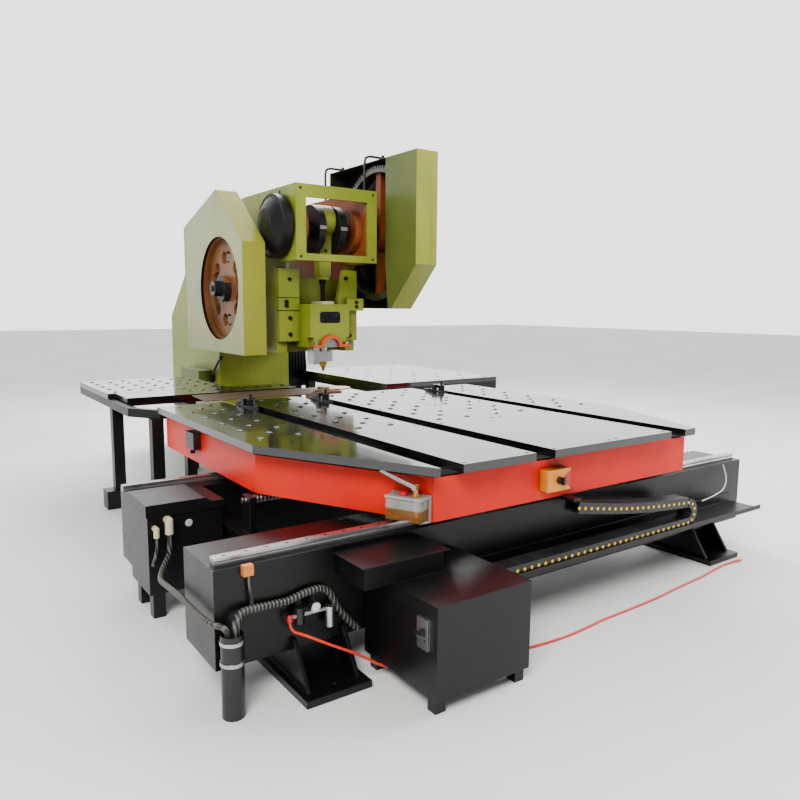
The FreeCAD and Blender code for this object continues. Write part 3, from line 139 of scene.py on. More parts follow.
class Finish:
    """A material under way; spot is the place on the piece, in metres."""

    def __init__(self, name):
        self.material = bpy.data.materials.new(name)
        self.material.use_nodes = True
        self.tree = self.material.node_tree
        self.tree.nodes.clear()
        self.spot = self.node("ShaderNodeTexCoord", out="Object")

    def node(self, kind, settings=None, sockets=None, out=0):
        made = self.tree.nodes.new(kind)
        for name, value in (settings or {}).items():
            setattr(made, name, value)
        for name, value in (sockets or {}).items():
            if isinstance(value, Wire):
                self.tree.links.new(value.socket, made.inputs[name])
            elif isinstance(value, tuple) and made.inputs[name].type == "RGBA":
                made.inputs[name].default_value = (*value[:3], 1)
            else:
                made.inputs[name].default_value = value
        return Wire(self, made.outputs[out])

    def mix(self, first, second, share, way="MIX"):
        return self.node("ShaderNodeMix", {"data_type": "RGBA", "blend_type": way},
                         {0: share, 6: first, 7: second}, out=2)

    def noise(self, scale, detail=4.0, stretch=None, rough=0.6):
        place = self.spot
        if stretch:
            place = self.node("ShaderNodeVectorMath", {"operation": "MULTIPLY"},
                              {0: place, 1: stretch})
        return self.node("ShaderNodeTexNoise", {},
                         {"Vector": place, "Scale": scale, "Detail": detail, "Roughness": rough})

    def axis(self, n):
        return self.node("ShaderNodeSeparateXYZ", {}, {0: self.spot}, out=n)

    def bump(self, height, depth, strength, base=None):
        sockets = {"Height": height, "Distance": depth, "Strength": strength}
        if base:
            sockets["Normal"] = base
        return self.node("ShaderNodeBump", {}, sockets)

    def soft(self, radius):
        return self.node("ShaderNodeBevel", {"samples": 4}, {"Radius": radius})

    def edges(self, soft):
        """How far a softened normal leans from the face: 0 on the flat, rising at an edge."""
        flat = self.node("ShaderNodeNewGeometry", out="Normal")
        lean = self.node("ShaderNodeVectorMath", {"operation": "DOT_PRODUCT"},
                         {0: flat, 1: soft}, out="Value")
        return 1 - lean

    def painted_shade_mask(self, reach, low=0.2, high=0.8):
        """Mask for painted shade in hollows: 0 deep in a corner or a cavity, 1 out in the open."""
        open_air = self.node("ShaderNodeAmbientOcclusion", {"samples": 5},
                             {"Distance": reach}, out="AO")
        return open_air.between(low, high)

    def close(self, **sockets):
        named = {name.replace("_", " "): value for name, value in sockets.items()}
        shader = self.node("ShaderNodeBsdfPrincipled", {}, named)
        result = self.tree.nodes.new("ShaderNodeOutputMaterial")
        self.tree.links.new(shader.socket, result.inputs[0])
        return self.material


def rgb(red, green, blue):
    """A shop colour card's 0-255 values as light."""
    return tuple((c / 255 / 12.92) if c < 11 else ((c / 255 + 0.055) / 1.055) ** 2.4
                 for c in (red, green, blue))


def dress(material, *names):
    """One finish over the whole of each node."""
    for name in names:
        slots = nodes[name].data.materials
        slots.clear()
        slots.append(material)


def dress_where(name, material, test):
    """The same node, another finish on the faces that pass the test of place and normal."""
    mesh = nodes[name].data
    mesh.materials.append(material)
    for face in mesh.polygons:
        if test(face.center, face.normal):
            face.material_index = len(mesh.materials) - 1


def rubber(name, colour, dusty, rough=0.5, weave=900.0):
    """Rubber and soft plastic: dust in patches, a fine skin, dull shine."""
    f = Finish(name)
    dust = f.noise(7, 5)
    skin = f.noise(weave, 2)
    shade = f.mix(colour, dusty, dust.between(0.45, 0.8) * 0.6)
    shade = f.mix(shade, (0.02, 0.018, 0.016), f.noise(2.6, 3).between(0.55, 0.8) * 0.35)
    return f.close(Base_Color=shade, Roughness=dust * 0.25 + (rough - 0.1),
                   Normal=f.bump(skin, 0.0004, 0.5))


air_hose.data.materials.append(rubber("red_rubber", rgb(214, 42, 22), rgb(226, 96, 70), 0.42))


def machined(name, colour, dull, rough=0.25, grain=(1, 1, 30), scale=60.0, stain=0.3,
             edge=0.0015, depth=0.00025):
    """Cut or ground metal: tool marks along one way, oil film and handling stains."""
    f = Finish(name)
    marks = f.noise(scale, 3, grain)
    film = f.noise(5, 5)
    soft = f.soft(edge)
    shade = f.mix(colour, dull, film.between(0.4, 0.75) * stain + marks * 0.22)
    shade = f.mix(shade, rgb(236, 234, 226), (f.edges(soft) * 1.6).between(0.15, 0.6) * 0.4)
    return f.close(Base_Color=shade, Metallic=1.0,
                   Roughness=marks * 0.2 + film * 0.15 + (rough - 0.1),
                   Normal=f.bump(marks, depth, 0.6, soft))


brass = machined("brass", rgb(206, 160, 74), rgb(128, 88, 38), 0.28, (1, 1, 1), 90)
dress(brass, "hose_coupling")


# ---------------------------------------------------------------- floor and lights
# A pale, faintly marked studio floor in a white room whose far wall is a broad
# window, with soft lamps from the front left, the right and above the table.
floor_mesh = bpy.data.meshes.new("studio_floor")
floor_mesh.from_pydata([(-40, -40, 0), (40, -40, 0), (40, 40, 0), (-40, 40, 0)], [], [(0, 1, 2, 3)])
studio_floor = bpy.data.objects.new("studio_floor", floor_mesh)
bpy.context.scene.collection.objects.link(studio_floor)
studio_floor.location.z = -0.001
ground = Finish("floor_screed")
floor_mesh.materials.append(ground.close(
    Base_Color=ground.mix(rgb(236, 236, 234), rgb(226, 226, 225),
                          ground.noise(0.6, 6).between(0.35, 0.7)),
    Roughness=ground.noise(3, 4) * 0.2 + 0.5, Normal=ground.bump(ground.noise(60, 4), 0.0006, 0.3)))

room = bpy.data.worlds.new("white_room")
room.use_nodes = True
sky = room.node_tree
around = sky.nodes.new("ShaderNodeTexCoord")
window = sky.nodes.new("ShaderNodeVectorMath")
window.operation = "DOT_PRODUCT"
window.inputs[1].default_value = (0.55, 0.80, 0.24)
sky.links.new(around.outputs["Generated"], window.inputs[0])
glow = sky.nodes.new("ShaderNodeMapRange")
glow.interpolation_type = "SMOOTHSTEP"
for socket, value in (("From Min", -0.1), ("From Max", 0.95), ("To Min", 0.5), ("To Max", 2.6)):
    glow.inputs[socket].default_value = value
sky.links.new(window.outputs["Value"], glow.inputs["Value"])
sky.nodes["Background"].inputs["Color"].default_value = (0.97, 0.985, 1.0, 1)
sky.links.new(glow.outputs["Result"], sky.nodes["Background"].inputs["Strength"])
bpy.context.scene.world = room


def lamp(name, place, aim, size, power, tint=(1, 1, 1)):
    light = bpy.data.lights.new(name, "AREA")
    light.shape, light.size, light.energy, light.color = "DISK", size, power, tint
    held = bpy.data.objects.new(name, light)
    bpy.context.scene.collection.objects.link(held)
    held.location = place
    held.rotation_euler = (Vector(aim) - Vector(place)).to_track_quat("-Z", "Y").to_euler()


lamp("key_lamp", (-5.5, -6.5, 6.5), (0, -0.5, 1.0), 4.0, 900, (1, 0.985, 0.96))
lamp("side_lamp", (6.5, -4.0, 5.0), (0.3, -1.5, 0.8), 4.0, 420)
lamp("table_lamp", (2.8, 4.6, 5.2), (0.0, -1.6, 0.8), 5.0, 700)


# ---------------------------------------------------------------- press frame
# Deep-throated cast C-frame with two cheeks and a welded head plate, sprayed
# yellow-green; machined faces and the window's inside are left in brown primer.
def enamel(name, coat, faded, bare, gloss=0.36, wear=0.5, dirt=0.35, edge=0.004,
           lumps=0.0012, shine=0.4):
    """Sprayed enamel over iron: casting lumps, orange peel, runs of oil, edges rubbed through,
    painted shade in corners and cavities.
    """
    f = Finish(name)
    cloud = f.noise(1.7, 5)
    fleck = f.noise(46, 4)
    runs = f.noise(9, 4, (1, 1, 0.09))
    soft = f.soft(edge)
    shade = f.mix(coat, faded, cloud.between(0.35, 0.68))
    shade = f.mix(shade, tuple(c * 0.42 for c in coat), runs.between(0.54, 0.82) * dirt)
    # painted shade: the coat darkened towards a tenth of its colour in corners and cavities
    shade = f.mix(tuple(c * 0.10 for c in coat), shade, f.painted_shade_mask(0.16) * 0.8 + 0.2)
    rubbed = (f.edges(soft) * 2.2 + fleck * 0.6 - 0.42).between(0.2, 0.5) * wear
    shade = f.mix(shade, bare, rubbed)
    peel = f.noise(190, 2)
    lump = f.bump(cloud, lumps * 6, 0.5, soft)
    return f.close(Base_Color=shade,
                   Roughness=cloud * 0.16 + fleck * 0.12 + runs * 0.1 + (gloss - 0.16),
                   Specular_IOR_Level=shine, Normal=f.bump(peel, lumps * 0.35, 0.55, lump))


press_green = enamel("press_green", rgb(126, 138, 28), rgb(148, 156, 48), rgb(60, 50, 26))
dress(press_green, "press_frame", "head_plate", "ram", "gibs")
primer = enamel("red_primer", rgb(120, 56, 20), rgb(168, 84, 30), rgb(56, 34, 20), 0.5, 0.3, 0.7)
dress_where("press_frame", primer,
            lambda p, n: abs(p.x) < 0.2745 and -0.226 < p.y < 1.2 and 1.6 < p.z < 2.46)


# ---------------------------------------------------------------- crank and its bearings
# Forged crank in bronze bushes, with the brake drum on its left end and the
# big gear on its right; the discs are blued black, their rims turned bright.
dress(machined("bronze", rgb(190, 138, 76), rgb(112, 76, 40), 0.32), "bearing_bushes")
steel = machined("turned_steel", rgb(182, 182, 184), rgb(112, 110, 108), 0.24, (30, 1, 1), 50)


def turned_black(name, coat, worn, centre, rings=2600.0, rough=0.3):
    """Blued or painted black, turned about the X axis through centre (y, z)."""
    f = Finish(name)
    y, z = f.axis(1) - centre[0], f.axis(2) - centre[1]
    radius = (y * y + z * z).math("SQRT")
    cut = (radius * rings).math("SINE")
    soft = f.soft(0.003)
    cloud = f.noise(6, 5)
    shade = f.mix(coat, worn,
                  (f.edges(soft) * 2).between(0.2, 0.7) * 0.7 + cloud.between(0.55, 0.8) * 0.12)
    return f.close(Base_Color=shade, Roughness=cloud * 0.2 + rough, Specular_IOR_Level=0.3,
                   Normal=f.bump(cut, 0.00012, 0.5, soft))


crank_line = (0.0, 2.16)
dress(turned_black("drum_black", rgb(11, 11, 13), rgb(60, 59, 58), crank_line),
      "brake_drum", "crankshaft")
dress_where("crankshaft", steel, lambda p, n: abs(p.y) > 0.08 and abs(n.y) > 0.995)
gear_iron = machined("gear_iron", rgb(128, 128, 124), rgb(66, 62, 56), 0.4, (1, 1, 1), 30, 0.6)
dress(gear_iron, "bull_gear", "pinion_shaft")
spoke_paint = enamel("spoke_orange", rgb(112, 50, 14), rgb(150, 74, 22), rgb(46, 30, 18),
                     0.4, 0.35, 0.6)
dress_where("bull_gear", spoke_paint,
            lambda p, n: 0.10 < math.dist((p.y, p.z), crank_line) < 0.50)


# ---------------------------------------------------------------- flywheel and drive
# Cast flywheel on the back shaft, its six spokes in brown primer with a dark
# turned hub, belted to the motor inside the column.
back_shaft_line = (0.44, 1.684)
dress(enamel("flywheel_primer", rgb(104, 62, 28), rgb(140, 90, 48), rgb(40, 28, 18),
             0.36, 0.4, 0.65), "flywheel")
dress_where("flywheel",
            turned_black("hub_black", rgb(30, 28, 27), rgb(110, 104, 98), back_shaft_line),
            lambda p, n: math.dist((p.y, p.z), back_shaft_line) < 0.105)
dress(enamel("motor_grey", rgb(96, 104, 108), rgb(116, 122, 124), rgb(60, 60, 60), 0.45),
      "motor")
dress(gear_iron, "motor_pulley")
dress(rubber("drive_belt", rgb(28, 27, 26), rgb(58, 54, 50), 0.6), "drive_belts")


# ---------------------------------------------------------------- guards
# Folded sheet covers, yellow-green on the folded edges; their broad sides carry painted
# light and shade, a pale grey-green on the belt guard and a dark olive on the gear guard.
def sheet_paint(name, side, edge_coat, bare):
    f = Finish(name)
    cloud = f.noise(1.3, 5)
    runs = f.noise(7, 4, (1, 1, 0.07))
    soft = f.soft(0.005)
    # painted light and shade: faces turned along X, the broad sides, take the side colour, which is
    # the paint as lit on the belt guard and as shaded on the gear guard
    flat = f.node("ShaderNodeNewGeometry", out="True Normal")
    sideways = f.node("ShaderNodeSeparateXYZ", {}, {0: flat}, out=0).math("ABSOLUTE")
    facing_light_share = sideways.between(0.6, 0.9)
    shade = f.mix(edge_coat, side, facing_light_share)
    shade = f.mix(shade, tuple(c * 0.6 for c in edge_coat), cloud.between(0.45, 0.75) * 0.35)
    shade = f.mix(shade, tuple(c * 0.3 for c in edge_coat), runs.between(0.56, 0.84) * 0.4)
    # painted shade: darkened towards an eighth of the edge paint in corners and hollows
    shade = f.mix(tuple(c * 0.12 for c in edge_coat), shade, f.painted_shade_mask(0.2) * 0.75 + 0.25)
    rubbed = (f.edges(soft) * 2.2 + f.noise(50, 3) * 0.6 - 0.45).between(0.2, 0.5)
    shade = f.mix(shade, bare, rubbed * 0.45)
    oil_can = f.bump(f.noise(2.4, 2), 0.006, 0.35, soft)
    return f.close(Base_Color=shade, Roughness=cloud * 0.18 + 0.24, Specular_IOR_Level=0.45,
                   Normal=f.bump(f.noise(210, 2), 0.0004, 0.5, oil_can))


# the side colours are painted light and shade: pale as lit on the belt guard, dark as shaded on the
# gear guard
dress(sheet_paint("belt_guard_green", rgb(158, 168, 108), rgb(150, 150, 40), rgb(74, 64, 34)),
      "belt_guard")
dress(sheet_paint("gear_guard_green", rgb(92, 104, 44), rgb(150, 156, 44), rgb(64, 56, 30)),
      "gear_guard")
guard_inside = enamel("guard_inside", rgb(26, 24, 18), rgb(40, 36, 26), rgb(60, 52, 40),
                      0.5, 0.3, 0.6)
for cover, middle in (("belt_guard", (-0.623, 0.577, 1.82)), ("gear_guard", (0.573, 0.02, 2.15))):
    dress_where(cover, guard_inside, lambda p, n: (Vector(middle) - p).normalized().dot(n) > 0.02)
dress(enamel("bar_black", rgb(12, 12, 13), rgb(22, 22, 22), rgb(70, 66, 60), 0.3, 0.4, 0.2),
      "guard_stays")


# ---------------------------------------------------------------- ram and punch
# The ram slides in bolted gibs. Its ball screw, lock collar and ball cap set the
# stroke; an orange half ring clamps the punch holder's shank.
dress(press_green, "connecting_rod")
nameplate = Finish("blank_nameplate")
plate_scuffs = nameplate.noise(26, 5).between(0.52, 0.78) * 0.4
dress_where("ram", nameplate.close(
    Base_Color=nameplate.mix(rgb(14, 15, 18), rgb(84, 84, 84), plate_scuffs),
    Roughness=nameplate.noise(60, 3) * 0.3 + 0.22, Metallic=0.6, Normal=nameplate.soft(0.001)),
    lambda p, n: p.y < -0.1203 and abs(p.x) < 0.094 and 1.414 < p.z < 1.508)


def threaded(name, colour, dull, centre, axis, pitch, depth, rough=0.3):
    """A cut screw thread as relief: centre is the axis line, axis the way it runs."""
    f = Finish(name)
    across = [n for n in range(3) if n != axis]
    a, b = (f.axis(n) - centre[n] for n in across)
    around = b.math("ARCTAN2", a) * (1 / math.tau)
    turns = f.axis(axis) * (1 / pitch) + (around if axis != 1 else 1 - around)
    ridge = turns.math("PINGPONG", 0.5) * 2
    soft = f.soft(0.001)
    shade = f.mix(dull, colour, ridge.between(0.3, 0.85))
    return f.close(Base_Color=shade, Metallic=1.0, Roughness=(1 - ridge) * 0.25 + (rough - 0.05),
                   Normal=f.bump(ridge, depth, 1.0, soft))


def turned(name, outline, spots, towards, material, body, sides=18):
    """Small turned pieces, one at each spot; outline is (radius, height) pairs up the axis."""
    bm = bmesh.new()
    tilt = Vector(towards).to_track_quat("Z", "Y")
    for spot in spots:
        rings = []
        for radius, height in outline:
            rings.append([bm.verts.new(Vector(spot) + tilt @ Vector(
                (radius * math.cos(math.tau * n / sides), radius * math.sin(math.tau * n / sides),
                 height))) for n in range(sides)])
        for low, high in zip(rings, rings[1:]):
            for n in range(sides):
                bm.faces.new((low[n], low[(n + 1) % sides], high[(n + 1) % sides], high[n]))
        bm.faces.new(rings[-1])
        bm.faces.new(rings[0][::-1])
    mesh = bpy.data.meshes.new(name)
    bm.to_mesh(mesh)
    bm.free()
    mesh.shade_smooth()
    mesh.set_sharp_from_angle(angle=0.6)
    mesh.materials.append(material)
    piece = bpy.data.objects.new(name, mesh)
    bpy.context.scene.collection.objects.link(piece)
    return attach(piece, body)


rivet_head = [(0.0035, -0.001), (0.0035, 0.0006), (0.0022, 0.0016), (0.0008, 0.0020)]
rivet_spots = [(x, -0.123, z) for x in (-0.086, 0.086) for z in (1.422, 1.500)]
turned("nameplate_rivets", rivet_head, rivet_spots, (0, -1, 0), steel, "ram_body", 14)
dress(threaded("adjusting_screw", rgb(70, 70, 72), rgb(16, 16, 16), (0, 0, 0), 2, 0.008, 0.002),
      "ball_screw")
dress(enamel("ivory_cap", rgb(206, 200, 168), rgb(190, 182, 146), rgb(96, 84, 60), 0.4),
      "ball_cap")
dress(press_green, "lock_collar")
dress(enamel("clamp_orange", rgb(206, 74, 16), rgb(216, 92, 26), rgb(90, 50, 28), 0.36, 0.6),
      "shank_clamp")
shank_axis_z = 1.22
dress_where("shank_clamp", steel, lambda p, n: math.hypot(p.x, p.z - shank_axis_z) < 0.0695
            or abs(p.x) > 0.12 and p.z > 1.2425)
dress(machined("holder_steel", rgb(214, 214, 214), rgb(150, 148, 144), 0.22, (1, 1, 12), 40),
      "punch_holder")
dress(brass, "punch")


# ---------------------------------------------------------------- bolster, die and press fittings
# Bolster bolted to the bed, tool-steel die on its arm, and on the right of the
# throat a black finned unit with a pale lid.
cast_black = enamel("cast_black", rgb(10, 10, 11), rgb(18, 18, 18), rgb(64, 60, 54),
                    0.34, 0.4, 0.3, shine=0.3)
dress(press_green, "bolster_plate")
dress(machined("die_steel", rgb(150, 118, 88), rgb(92, 70, 52), 0.36, (1, 1, 8), 50, 0.5),
      "die_block")
dress(machined("black_oxide", rgb(38, 38, 40), rgb(22, 22, 22), 0.34, (1, 1, 1), 80),
      "press_bolts")
dress(cast_black, "finned_unit", "hand_lever")
pale_lid = enamel("pale_lid", rgb(186, 188, 180), rgb(164, 166, 158), rgb(96, 94, 88), 0.4)
dress_where("finned_unit", pale_lid, lambda p, n: p.z > 1.085)
dress_where("hand_lever", rubber("black_grip", rgb(16, 16, 17), rgb(40, 40, 40), 0.35),
            lambda p, n: p.z > 1.035)


# ---------------------------------------------------------------- table skirt and frame
# Bent steel apron in bright red-orange gloss, round a black frame of welded
# bars that rides on four carriages.
dress(enamel("skirt_red", rgb(222, 22, 3), rgb(230, 34, 6), rgb(50, 10, 6), 0.34, 0.5, 0.12,
             0.003, 0.0006, 0.2), "table_skirt")
dress(cast_black, "table_frame", "rail_carriages", "wing_frames")
dress_where("rail_carriages", steel, lambda p, n: p.z < 0.60)


# ---------------------------------------------------------------- table plates
# Five gloss-black planks with open slots between them. Sheets sliding over the ball
# units have left hairline scratches, all roughly along the feed.
def plank_black(name):
    f = Finish(name)
    haze = f.noise(1.4, 6)
    lines = f.noise(34, 5, (1, 26, 1), 0.7)
    cross = f.noise(30, 5, (24, 1, 1), 0.7)
    soft = f.soft(0.002)
    worn = (f.edges(soft) * 2.4).between(0.25, 0.7)
    scraped = lines.between(0.60, 0.72) * 0.35 + cross.between(0.62, 0.74) * 0.2
    shade = f.mix(rgb(10, 10, 12), rgb(46, 46, 50), haze.between(0.45, 0.8) * 0.45 + scraped)
    shade = f.mix(shade, rgb(90, 88, 86), worn * 0.35)
    return f.close(Base_Color=shade, Roughness=haze * 0.14 + scraped * 0.3 + 0.07,
                   Coat_Weight=0.35, Specular_IOR_Level=0.7,
                   Normal=f.bump(f.noise(3.2, 3), 0.0012, 0.35, soft))


dress(plank_black("table_black"), "table_plates", "wing_plates")
dress_where("wing_plates",
            enamel("brown_strip", rgb(72, 52, 40), rgb(94, 72, 56), rgb(120, 100, 82), 0.4),
            lambda p, n: 0.8685 < p.z < 0.8755 and p.x < -0.16 and p.y < 0.1)
ball_steel = machined("ball_steel", rgb(120, 122, 126), rgb(70, 70, 72), 0.16, (1, 1, 1), 120,
                      0.3, 0.0008, 0.00005)
dress(enamel("flange_black", rgb(9, 9, 10), rgb(16, 16, 16), rgb(70, 68, 64), 0.36, 0.4, 0.2,
             0.0012, 0.0002, 0.3), "table_ball_units", "wing_ball_units")
for deck in ("table_ball_units", "wing_ball_units"):
    dress_where(deck, ball_steel, lambda p, n: p.z > 0.8806)
planks = ((-1.490, -1.026), (-0.896, -0.452), (-0.322, 0.1395), (0.1405, 0.604), (0.734, 1.194))
table_top, screw_inset = 0.878, 0.028
screw_spots = [(x, y, table_top) for low, high in planks[1:4]
               for x in (low + screw_inset, high - screw_inset) for y in (-2.835, -1.95, -1.30)]
socket_head = [(0.0092, -0.001), (0.0092, 0.0022), (0.0084, 0.0030), (0.0048, 0.0030),
               (0.0044, 0.0006)]
turned("plank_screws", socket_head, screw_spots, (0, 0, 1), steel, "saddle")


# ---------------------------------------------------------------- feed screw and sheet clamps
# A ground ball screw in the table's middle bay drives the clamp beam, whose two
# pneumatic clamps grip the sheet's edge.
dress(threaded("feed_screw_y", rgb(196, 196, 198), rgb(84, 82, 80), (-0.150, 0, 0.774), 1,
               0.020, 0.0022), "y_screw")
dress(cast_black, "clamp_beam")
dress(enamel("clamp_paint", rgb(44, 44, 46), rgb(62, 61, 60), rgb(132, 128, 120), 0.36, 0.7),
      "clamp_bodies")
dress(machined("jaw_steel", rgb(120, 120, 122), rgb(70, 68, 66), 0.3, (1, 1, 1), 60),
      "clamp_jaws")
dress_where("clamp_bodies", rubber("cylinder_black", rgb(14, 14, 15), rgb(36, 36, 38), 0.22),
            lambda p, n: 0.886 < p.z and p.y < -0.706)


# ---------------------------------------------------------------- hand lubricator
# Clear oil pot hung on the left chamfer: grey lid, brass plunger pump with a
# pressed steel handle, red filler cap.
def oil_pot():
    """Clear plastic, amber below the oil's level and pale above it."""
    f = Finish("clear_pot")
    film = f.noise(30, 4)
    level = f.axis(2).between(0.672, 0.674)
    shade = f.mix(rgb(150, 96, 40), rgb(206, 206, 200), level)
    return f.close(Base_Color=shade, Roughness=film * 0.2 + 0.05, Specular_IOR_Level=0.6,
                   Alpha=film * 0.12 + (1 - level) * 0.12 + 0.22)


dress(oil_pot(), "lubricator")
grey_cast = enamel("grey_cast", rgb(150, 152, 150), rgb(170, 170, 166), rgb(90, 88, 84), 0.4)
red_plastic = rubber("red_plastic", rgb(186, 26, 22), rgb(208, 70, 60), 0.3)


def on_bracket(point):
    """Along and out from the chamfer, from its front corner."""
    step = Vector((point.x + 0.990, point.y + 2.780))
    return step.dot(Vector((-0.4488, 0.8936))), step.dot(Vector((-0.8936, -0.4488)))


lid_low, lid_top = 0.7199, 0.7292
pump_place, filler_place, fitting_radius = (0.066, 0.046), (0.126, 0.046), 0.0215
dress_where("lubricator", grey_cast,
            lambda p, n: on_bracket(p)[1] < 0.0101 or lid_low < p.z < lid_top)
dress_where("lubricator", brass, lambda p, n: not lid_low <= p.z <= lid_top
            and math.dist(on_bracket(p), pump_place) < fitting_radius)
dress_where("lubricator", red_plastic, lambda p, n: p.z > lid_top
            and math.dist(on_bracket(p), filler_place) < fitting_radius)
dress(machined("handle_steel", rgb(196, 196, 192), rgb(150, 148, 142), 0.3),
      "lubricator_handle")


# ---------------------------------------------------------------- selector and limit switch
# Yellow moulded selector box with a black knob on the apron's front, and a black
# limit switch with a roller on its left side.
black_plastic = rubber("black_plastic", rgb(18, 18, 19), rgb(44, 44, 46), 0.32)
dress(enamel("yellow_box", rgb(226, 138, 22), rgb(236, 154, 40), rgb(120, 70, 20), 0.3, 0.3, 0.2,
             0.003, 0.0004), "table_switches")
dress_where("table_switches", black_plastic, lambda p, n: p.x < -1.4)
stop_button = (-0.195, 0.711)
dress_where("table_switches", red_plastic,
            lambda p, n: p.y < -2.8319 and math.dist((p.x, p.z), stop_button) < 0.013)
dress(black_plastic, "selector_knob")
box_screws = [(x, -2.832, z) for x in (-0.318, -0.176) for z in (0.667, 0.755)]
turned("selector_box_screws", [(0.0045, -0.001), (0.0045, 0.0012), (0.003, 0.0022)],
               box_screws, (0, -1, 0), steel, "saddle", 14)


# ---------------------------------------------------------------- cable chain
# Moulded black links with yellow snap pins at their joints, doubled back on a
# folded steel tray on brackets along the front beam.
dress(rubber("link_black", rgb(20, 20, 21), rgb(52, 51, 50), 0.42, 500),
      "chain_lower", "chain_upper")
pin_yellow = rubber("pin_yellow", rgb(236, 186, 20), rgb(214, 160, 30), 0.34)
pin_head = [(0.0088, -0.0005), (0.0088, 0.0016), (0.0070, 0.0024), (0.0034, 0.0024),
            (0.0030, 0.0014)]
pitch, chain_face = 0.047, -2.880
turn_x, turn_z, turn_r = 0.800, 0.384, 0.058
low_pins = [(turn_x - pitch * n, chain_face, 0.326) for n in range(34)]
low_pins += [(turn_x + turn_r * math.sin(math.pi * n / 5), chain_face,
              turn_z - turn_r * math.cos(math.pi * n / 5)) for n in range(1, 5)]
high_pins = [(0.792 - pitch * n, chain_face,
              0.446 + 0.118 * n / 20 - 0.016 * math.sin(math.pi * n / 20)) for n in range(21)]
turned("lower_pins", pin_head, low_pins, (0, -1, 0), pin_yellow, "base", 14)
turned("upper_pins", pin_head, high_pins, (0, -1, 0), pin_yellow,
               nodes["chain_upper"]["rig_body"], 14)
dress(cast_black, "chain_tray")


# ---------------------------------------------------------------- base, rails and screw
# Two hollow box beams and three cross members in thick black gloss, carrying
# ground rails with sunk fixing screws and the long feed screw.
dress(enamel("base_black", rgb(8, 8, 9), rgb(14, 14, 15), rgb(60, 56, 50), 0.30, 0.4, 0.2,
             0.005, 0.002, 0.3), "base_beams", "cross_members")


def rail_finish():
    """Ground steel with a dark sunk screw every 90 mm down both rails' top faces."""
    f = Finish("rail_steel")
    marks = f.noise(40, 3, (0.03, 18, 18))
    film = f.noise(6, 5)
    step = (f.axis(0) * (1 / 0.09)).math("PINGPONG", 0.5) * 0.09
    y = f.axis(1)
    near, far = (y + 2.612).math("ABSOLUTE"), (y + 1.280).math("ABSOLUTE")
    off = near.math("MINIMUM", far)
    hole = 1 - (step * step + off * off).math("SQRT").between(0.0068, 0.0078)
    top = f.axis(2).between(0.5905, 0.5915)
    soft = f.soft(0.0015)
    shade = f.mix(rgb(190, 190, 190), rgb(120, 116, 110),
                  film.between(0.45, 0.75) * 0.6 + marks * 0.2)
    shade = f.mix(shade, rgb(18, 18, 18), hole * top)
    return f.close(Base_Color=shade, Metallic=0.95, Roughness=marks * 0.2 + film * 0.2 + 0.1,
                   Normal=f.bump(1 - hole * top, 0.003, 0.6, soft))


dress(rail_finish(), "x_rails")
dress(threaded("feed_screw_x", rgb(196, 196, 198), rgb(84, 82, 80), (0, -1.900, 0.586), 0,
               0.020, 0.0028), "x_screw")


# ---------------------------------------------------------------- cabinets
# Servo drive cabinet at the left rail end with ivory elbow glands, and the low
# control cabinet in front with a breaker behind a bright plate.
dress(enamel("cabinet_black", rgb(10, 10, 11), rgb(17, 17, 18), rgb(66, 62, 56), 0.32, 0.35, 0.2,
             0.003, 0.0008, 0.3), "servo_cabinet", "control_cabinet")
dress_where("servo_cabinet",
            rubber("gland_ivory", rgb(206, 196, 160), rgb(170, 160, 128), 0.38),
            lambda p, n: p.y < -1.744 and p.x < -1.80 and 0.40 < p.z < 0.527)
dress_where("control_cabinet", steel, lambda p, n: p.x < -1.2901 and p.y < -3.07 and p.z < 0.40)
dress(black_plastic, "breaker_toggle")
turned("cabinet_disc", [(0.019, -0.001), (0.019, 0.0012), (0.017, 0.0018)],
               [(-1.736, -1.740, 0.470)], (0, -1, 0), pale_lid, "base", 32)


# ---------------------------------------------------------------- air regulator
# Filter regulator on the front beam: chromed body and pipe, clear bowl, round
# gauge with a white dial and a short needle.
dress(machined("regulator_chrome", rgb(196, 198, 200), rgb(130, 128, 124), 0.22, (1, 1, 1), 70),
      "air_regulator")
dress_where("air_regulator", black_plastic, lambda p, n: -1.642 < p.x < -1.598)
dress_where("air_regulator", red_plastic, lambda p, n: p.x < -1.648)
dial_white = enamel("dial_white", rgb(236, 236, 230), rgb(224, 222, 214), rgb(150, 146, 136),
                    0.3, 0.2, 0.1, 0.001, 0.0001)
centre = Vector((-1.556, -2.7420, 0.344))
turned("gauge_dial", [(0.0172, 0.0), (0.0172, 0.0006), (0.0166, 0.0008)], [centre],
               (0, -1, 0), dial_white, "base", 40)


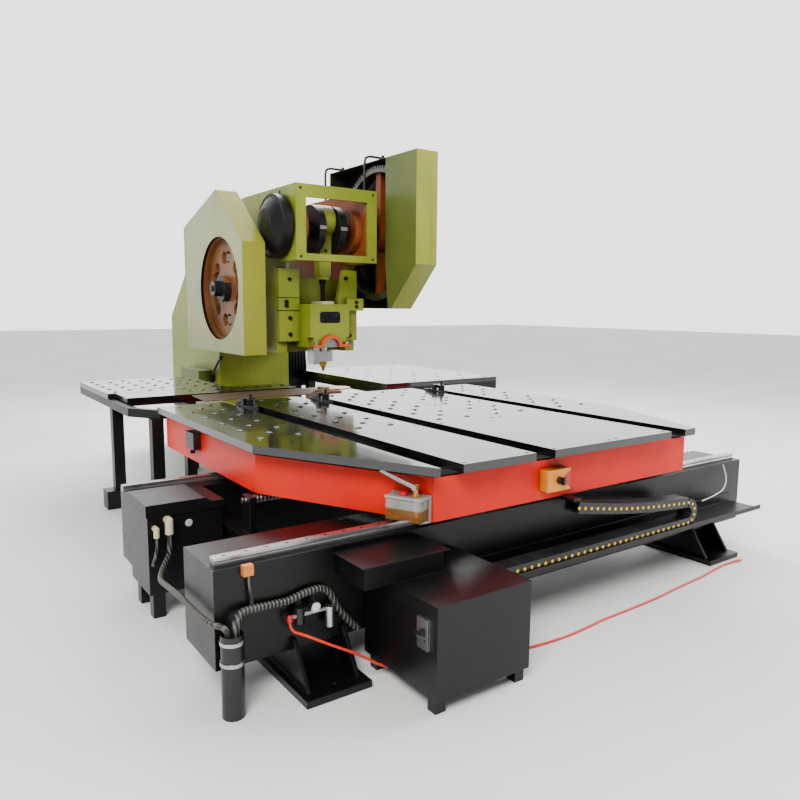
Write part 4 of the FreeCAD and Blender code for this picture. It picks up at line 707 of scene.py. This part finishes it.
def dial_marks():
    """Scale strokes round the dial and the needle, printed black."""
    bm = bmesh.new()
    strokes = [(math.radians(225 - 27 * n), 0.0128, 0.0158, 0.0005) for n in range(11)]
    strokes.append((math.radians(120), -0.004, 0.0118, 0.0008))
    for angle, inner, outer, half in strokes:
        out = Vector((math.cos(angle), 0, math.sin(angle)))
        side = Vector((-out.z, 0, out.x)) * half
        base = centre + Vector((0, -0.0009, 0))
        corners = [base + out * inner - side, base + out * outer - side * 0.6,
                   base + out * outer + side * 0.6, base + out * inner + side]
        front = [bm.verts.new(c + Vector((0, -0.0004, 0))) for c in corners]
        back = [bm.verts.new(c) for c in corners]
        bm.faces.new(front)
        bm.faces.new(back[::-1])
        for n in range(4):
            bm.faces.new((front[n], back[n], back[(n + 1) % 4], front[(n + 1) % 4]))
    bmesh.ops.recalc_face_normals(bm, faces=bm.faces)
    mesh = bpy.data.meshes.new("dial_marks")
    bm.to_mesh(mesh)
    bm.free()
    mesh.materials.append(black_plastic)
    piece = bpy.data.objects.new("dial_marks", mesh)
    bpy.context.scene.collection.objects.link(piece)
    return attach(piece, "base")


dial_marks()


# ---------------------------------------------------------------- terminal boxes and conduits
# An orange junction box on the beam's end, a grey one on the cheek, and grey
# spiral conduits bundled into a floor riser.
dress(enamel("junction_orange", rgb(206, 112, 40), rgb(216, 130, 60), rgb(110, 60, 26), 0.4),
      "terminal_boxes")
dress_where("terminal_boxes",
            enamel("box_lid", rgb(150, 152, 120), rgb(166, 168, 136), rgb(96, 92, 76), 0.4),
            lambda p, n: p.y > 0)
dress_where("terminal_boxes",
            enamel("box_side", rgb(84, 92, 26), rgb(104, 110, 40), rgb(60, 54, 30), 0.4),
            lambda p, n: p.y > 0 and p.z < 0.9149)


def ribbed(name, colour, dusty, axis, pitch, depth):
    """Spiral-wound conduit: ribs one pitch apart, dust in the grooves."""
    f = Finish(name)
    wave = (f.axis(axis) * (math.tau / pitch)).math("SINE") * 0.5 + 0.5
    dust = f.noise(9, 5)
    shade = f.mix(dusty, colour, wave.between(0.15, 0.6))
    shade = f.mix(shade, dusty, dust.between(0.5, 0.8) * 0.4)
    return f.close(Base_Color=shade, Roughness=dust * 0.3 + 0.3, Normal=f.bump(wave, depth, 1.0))


dress(rubber("riser_rubber", rgb(13, 13, 14), rgb(34, 33, 32), 0.34, 300), "riser_hose")
riser_axis = (-1.917, -2.746)
dress_where("riser_hose", steel, lambda p, n: math.dist((p.x, p.y), riser_axis) > 0.0445)
dress(ribbed("conduit_wrap", rgb(22, 22, 24), rgb(92, 90, 84), 0, 0.016, 0.003), "conduits")
dress_where("conduits",
            ribbed("servo_sleeve", rgb(38, 37, 35), rgb(84, 78, 68), 1, 0.02, 0.002),
            lambda p, n: p.x < -1.93)
dress_where("conduits", rubber("wire_white", rgb(206, 204, 196), rgb(176, 172, 160), 0.4),
            lambda p, n: p.x > 0.5)
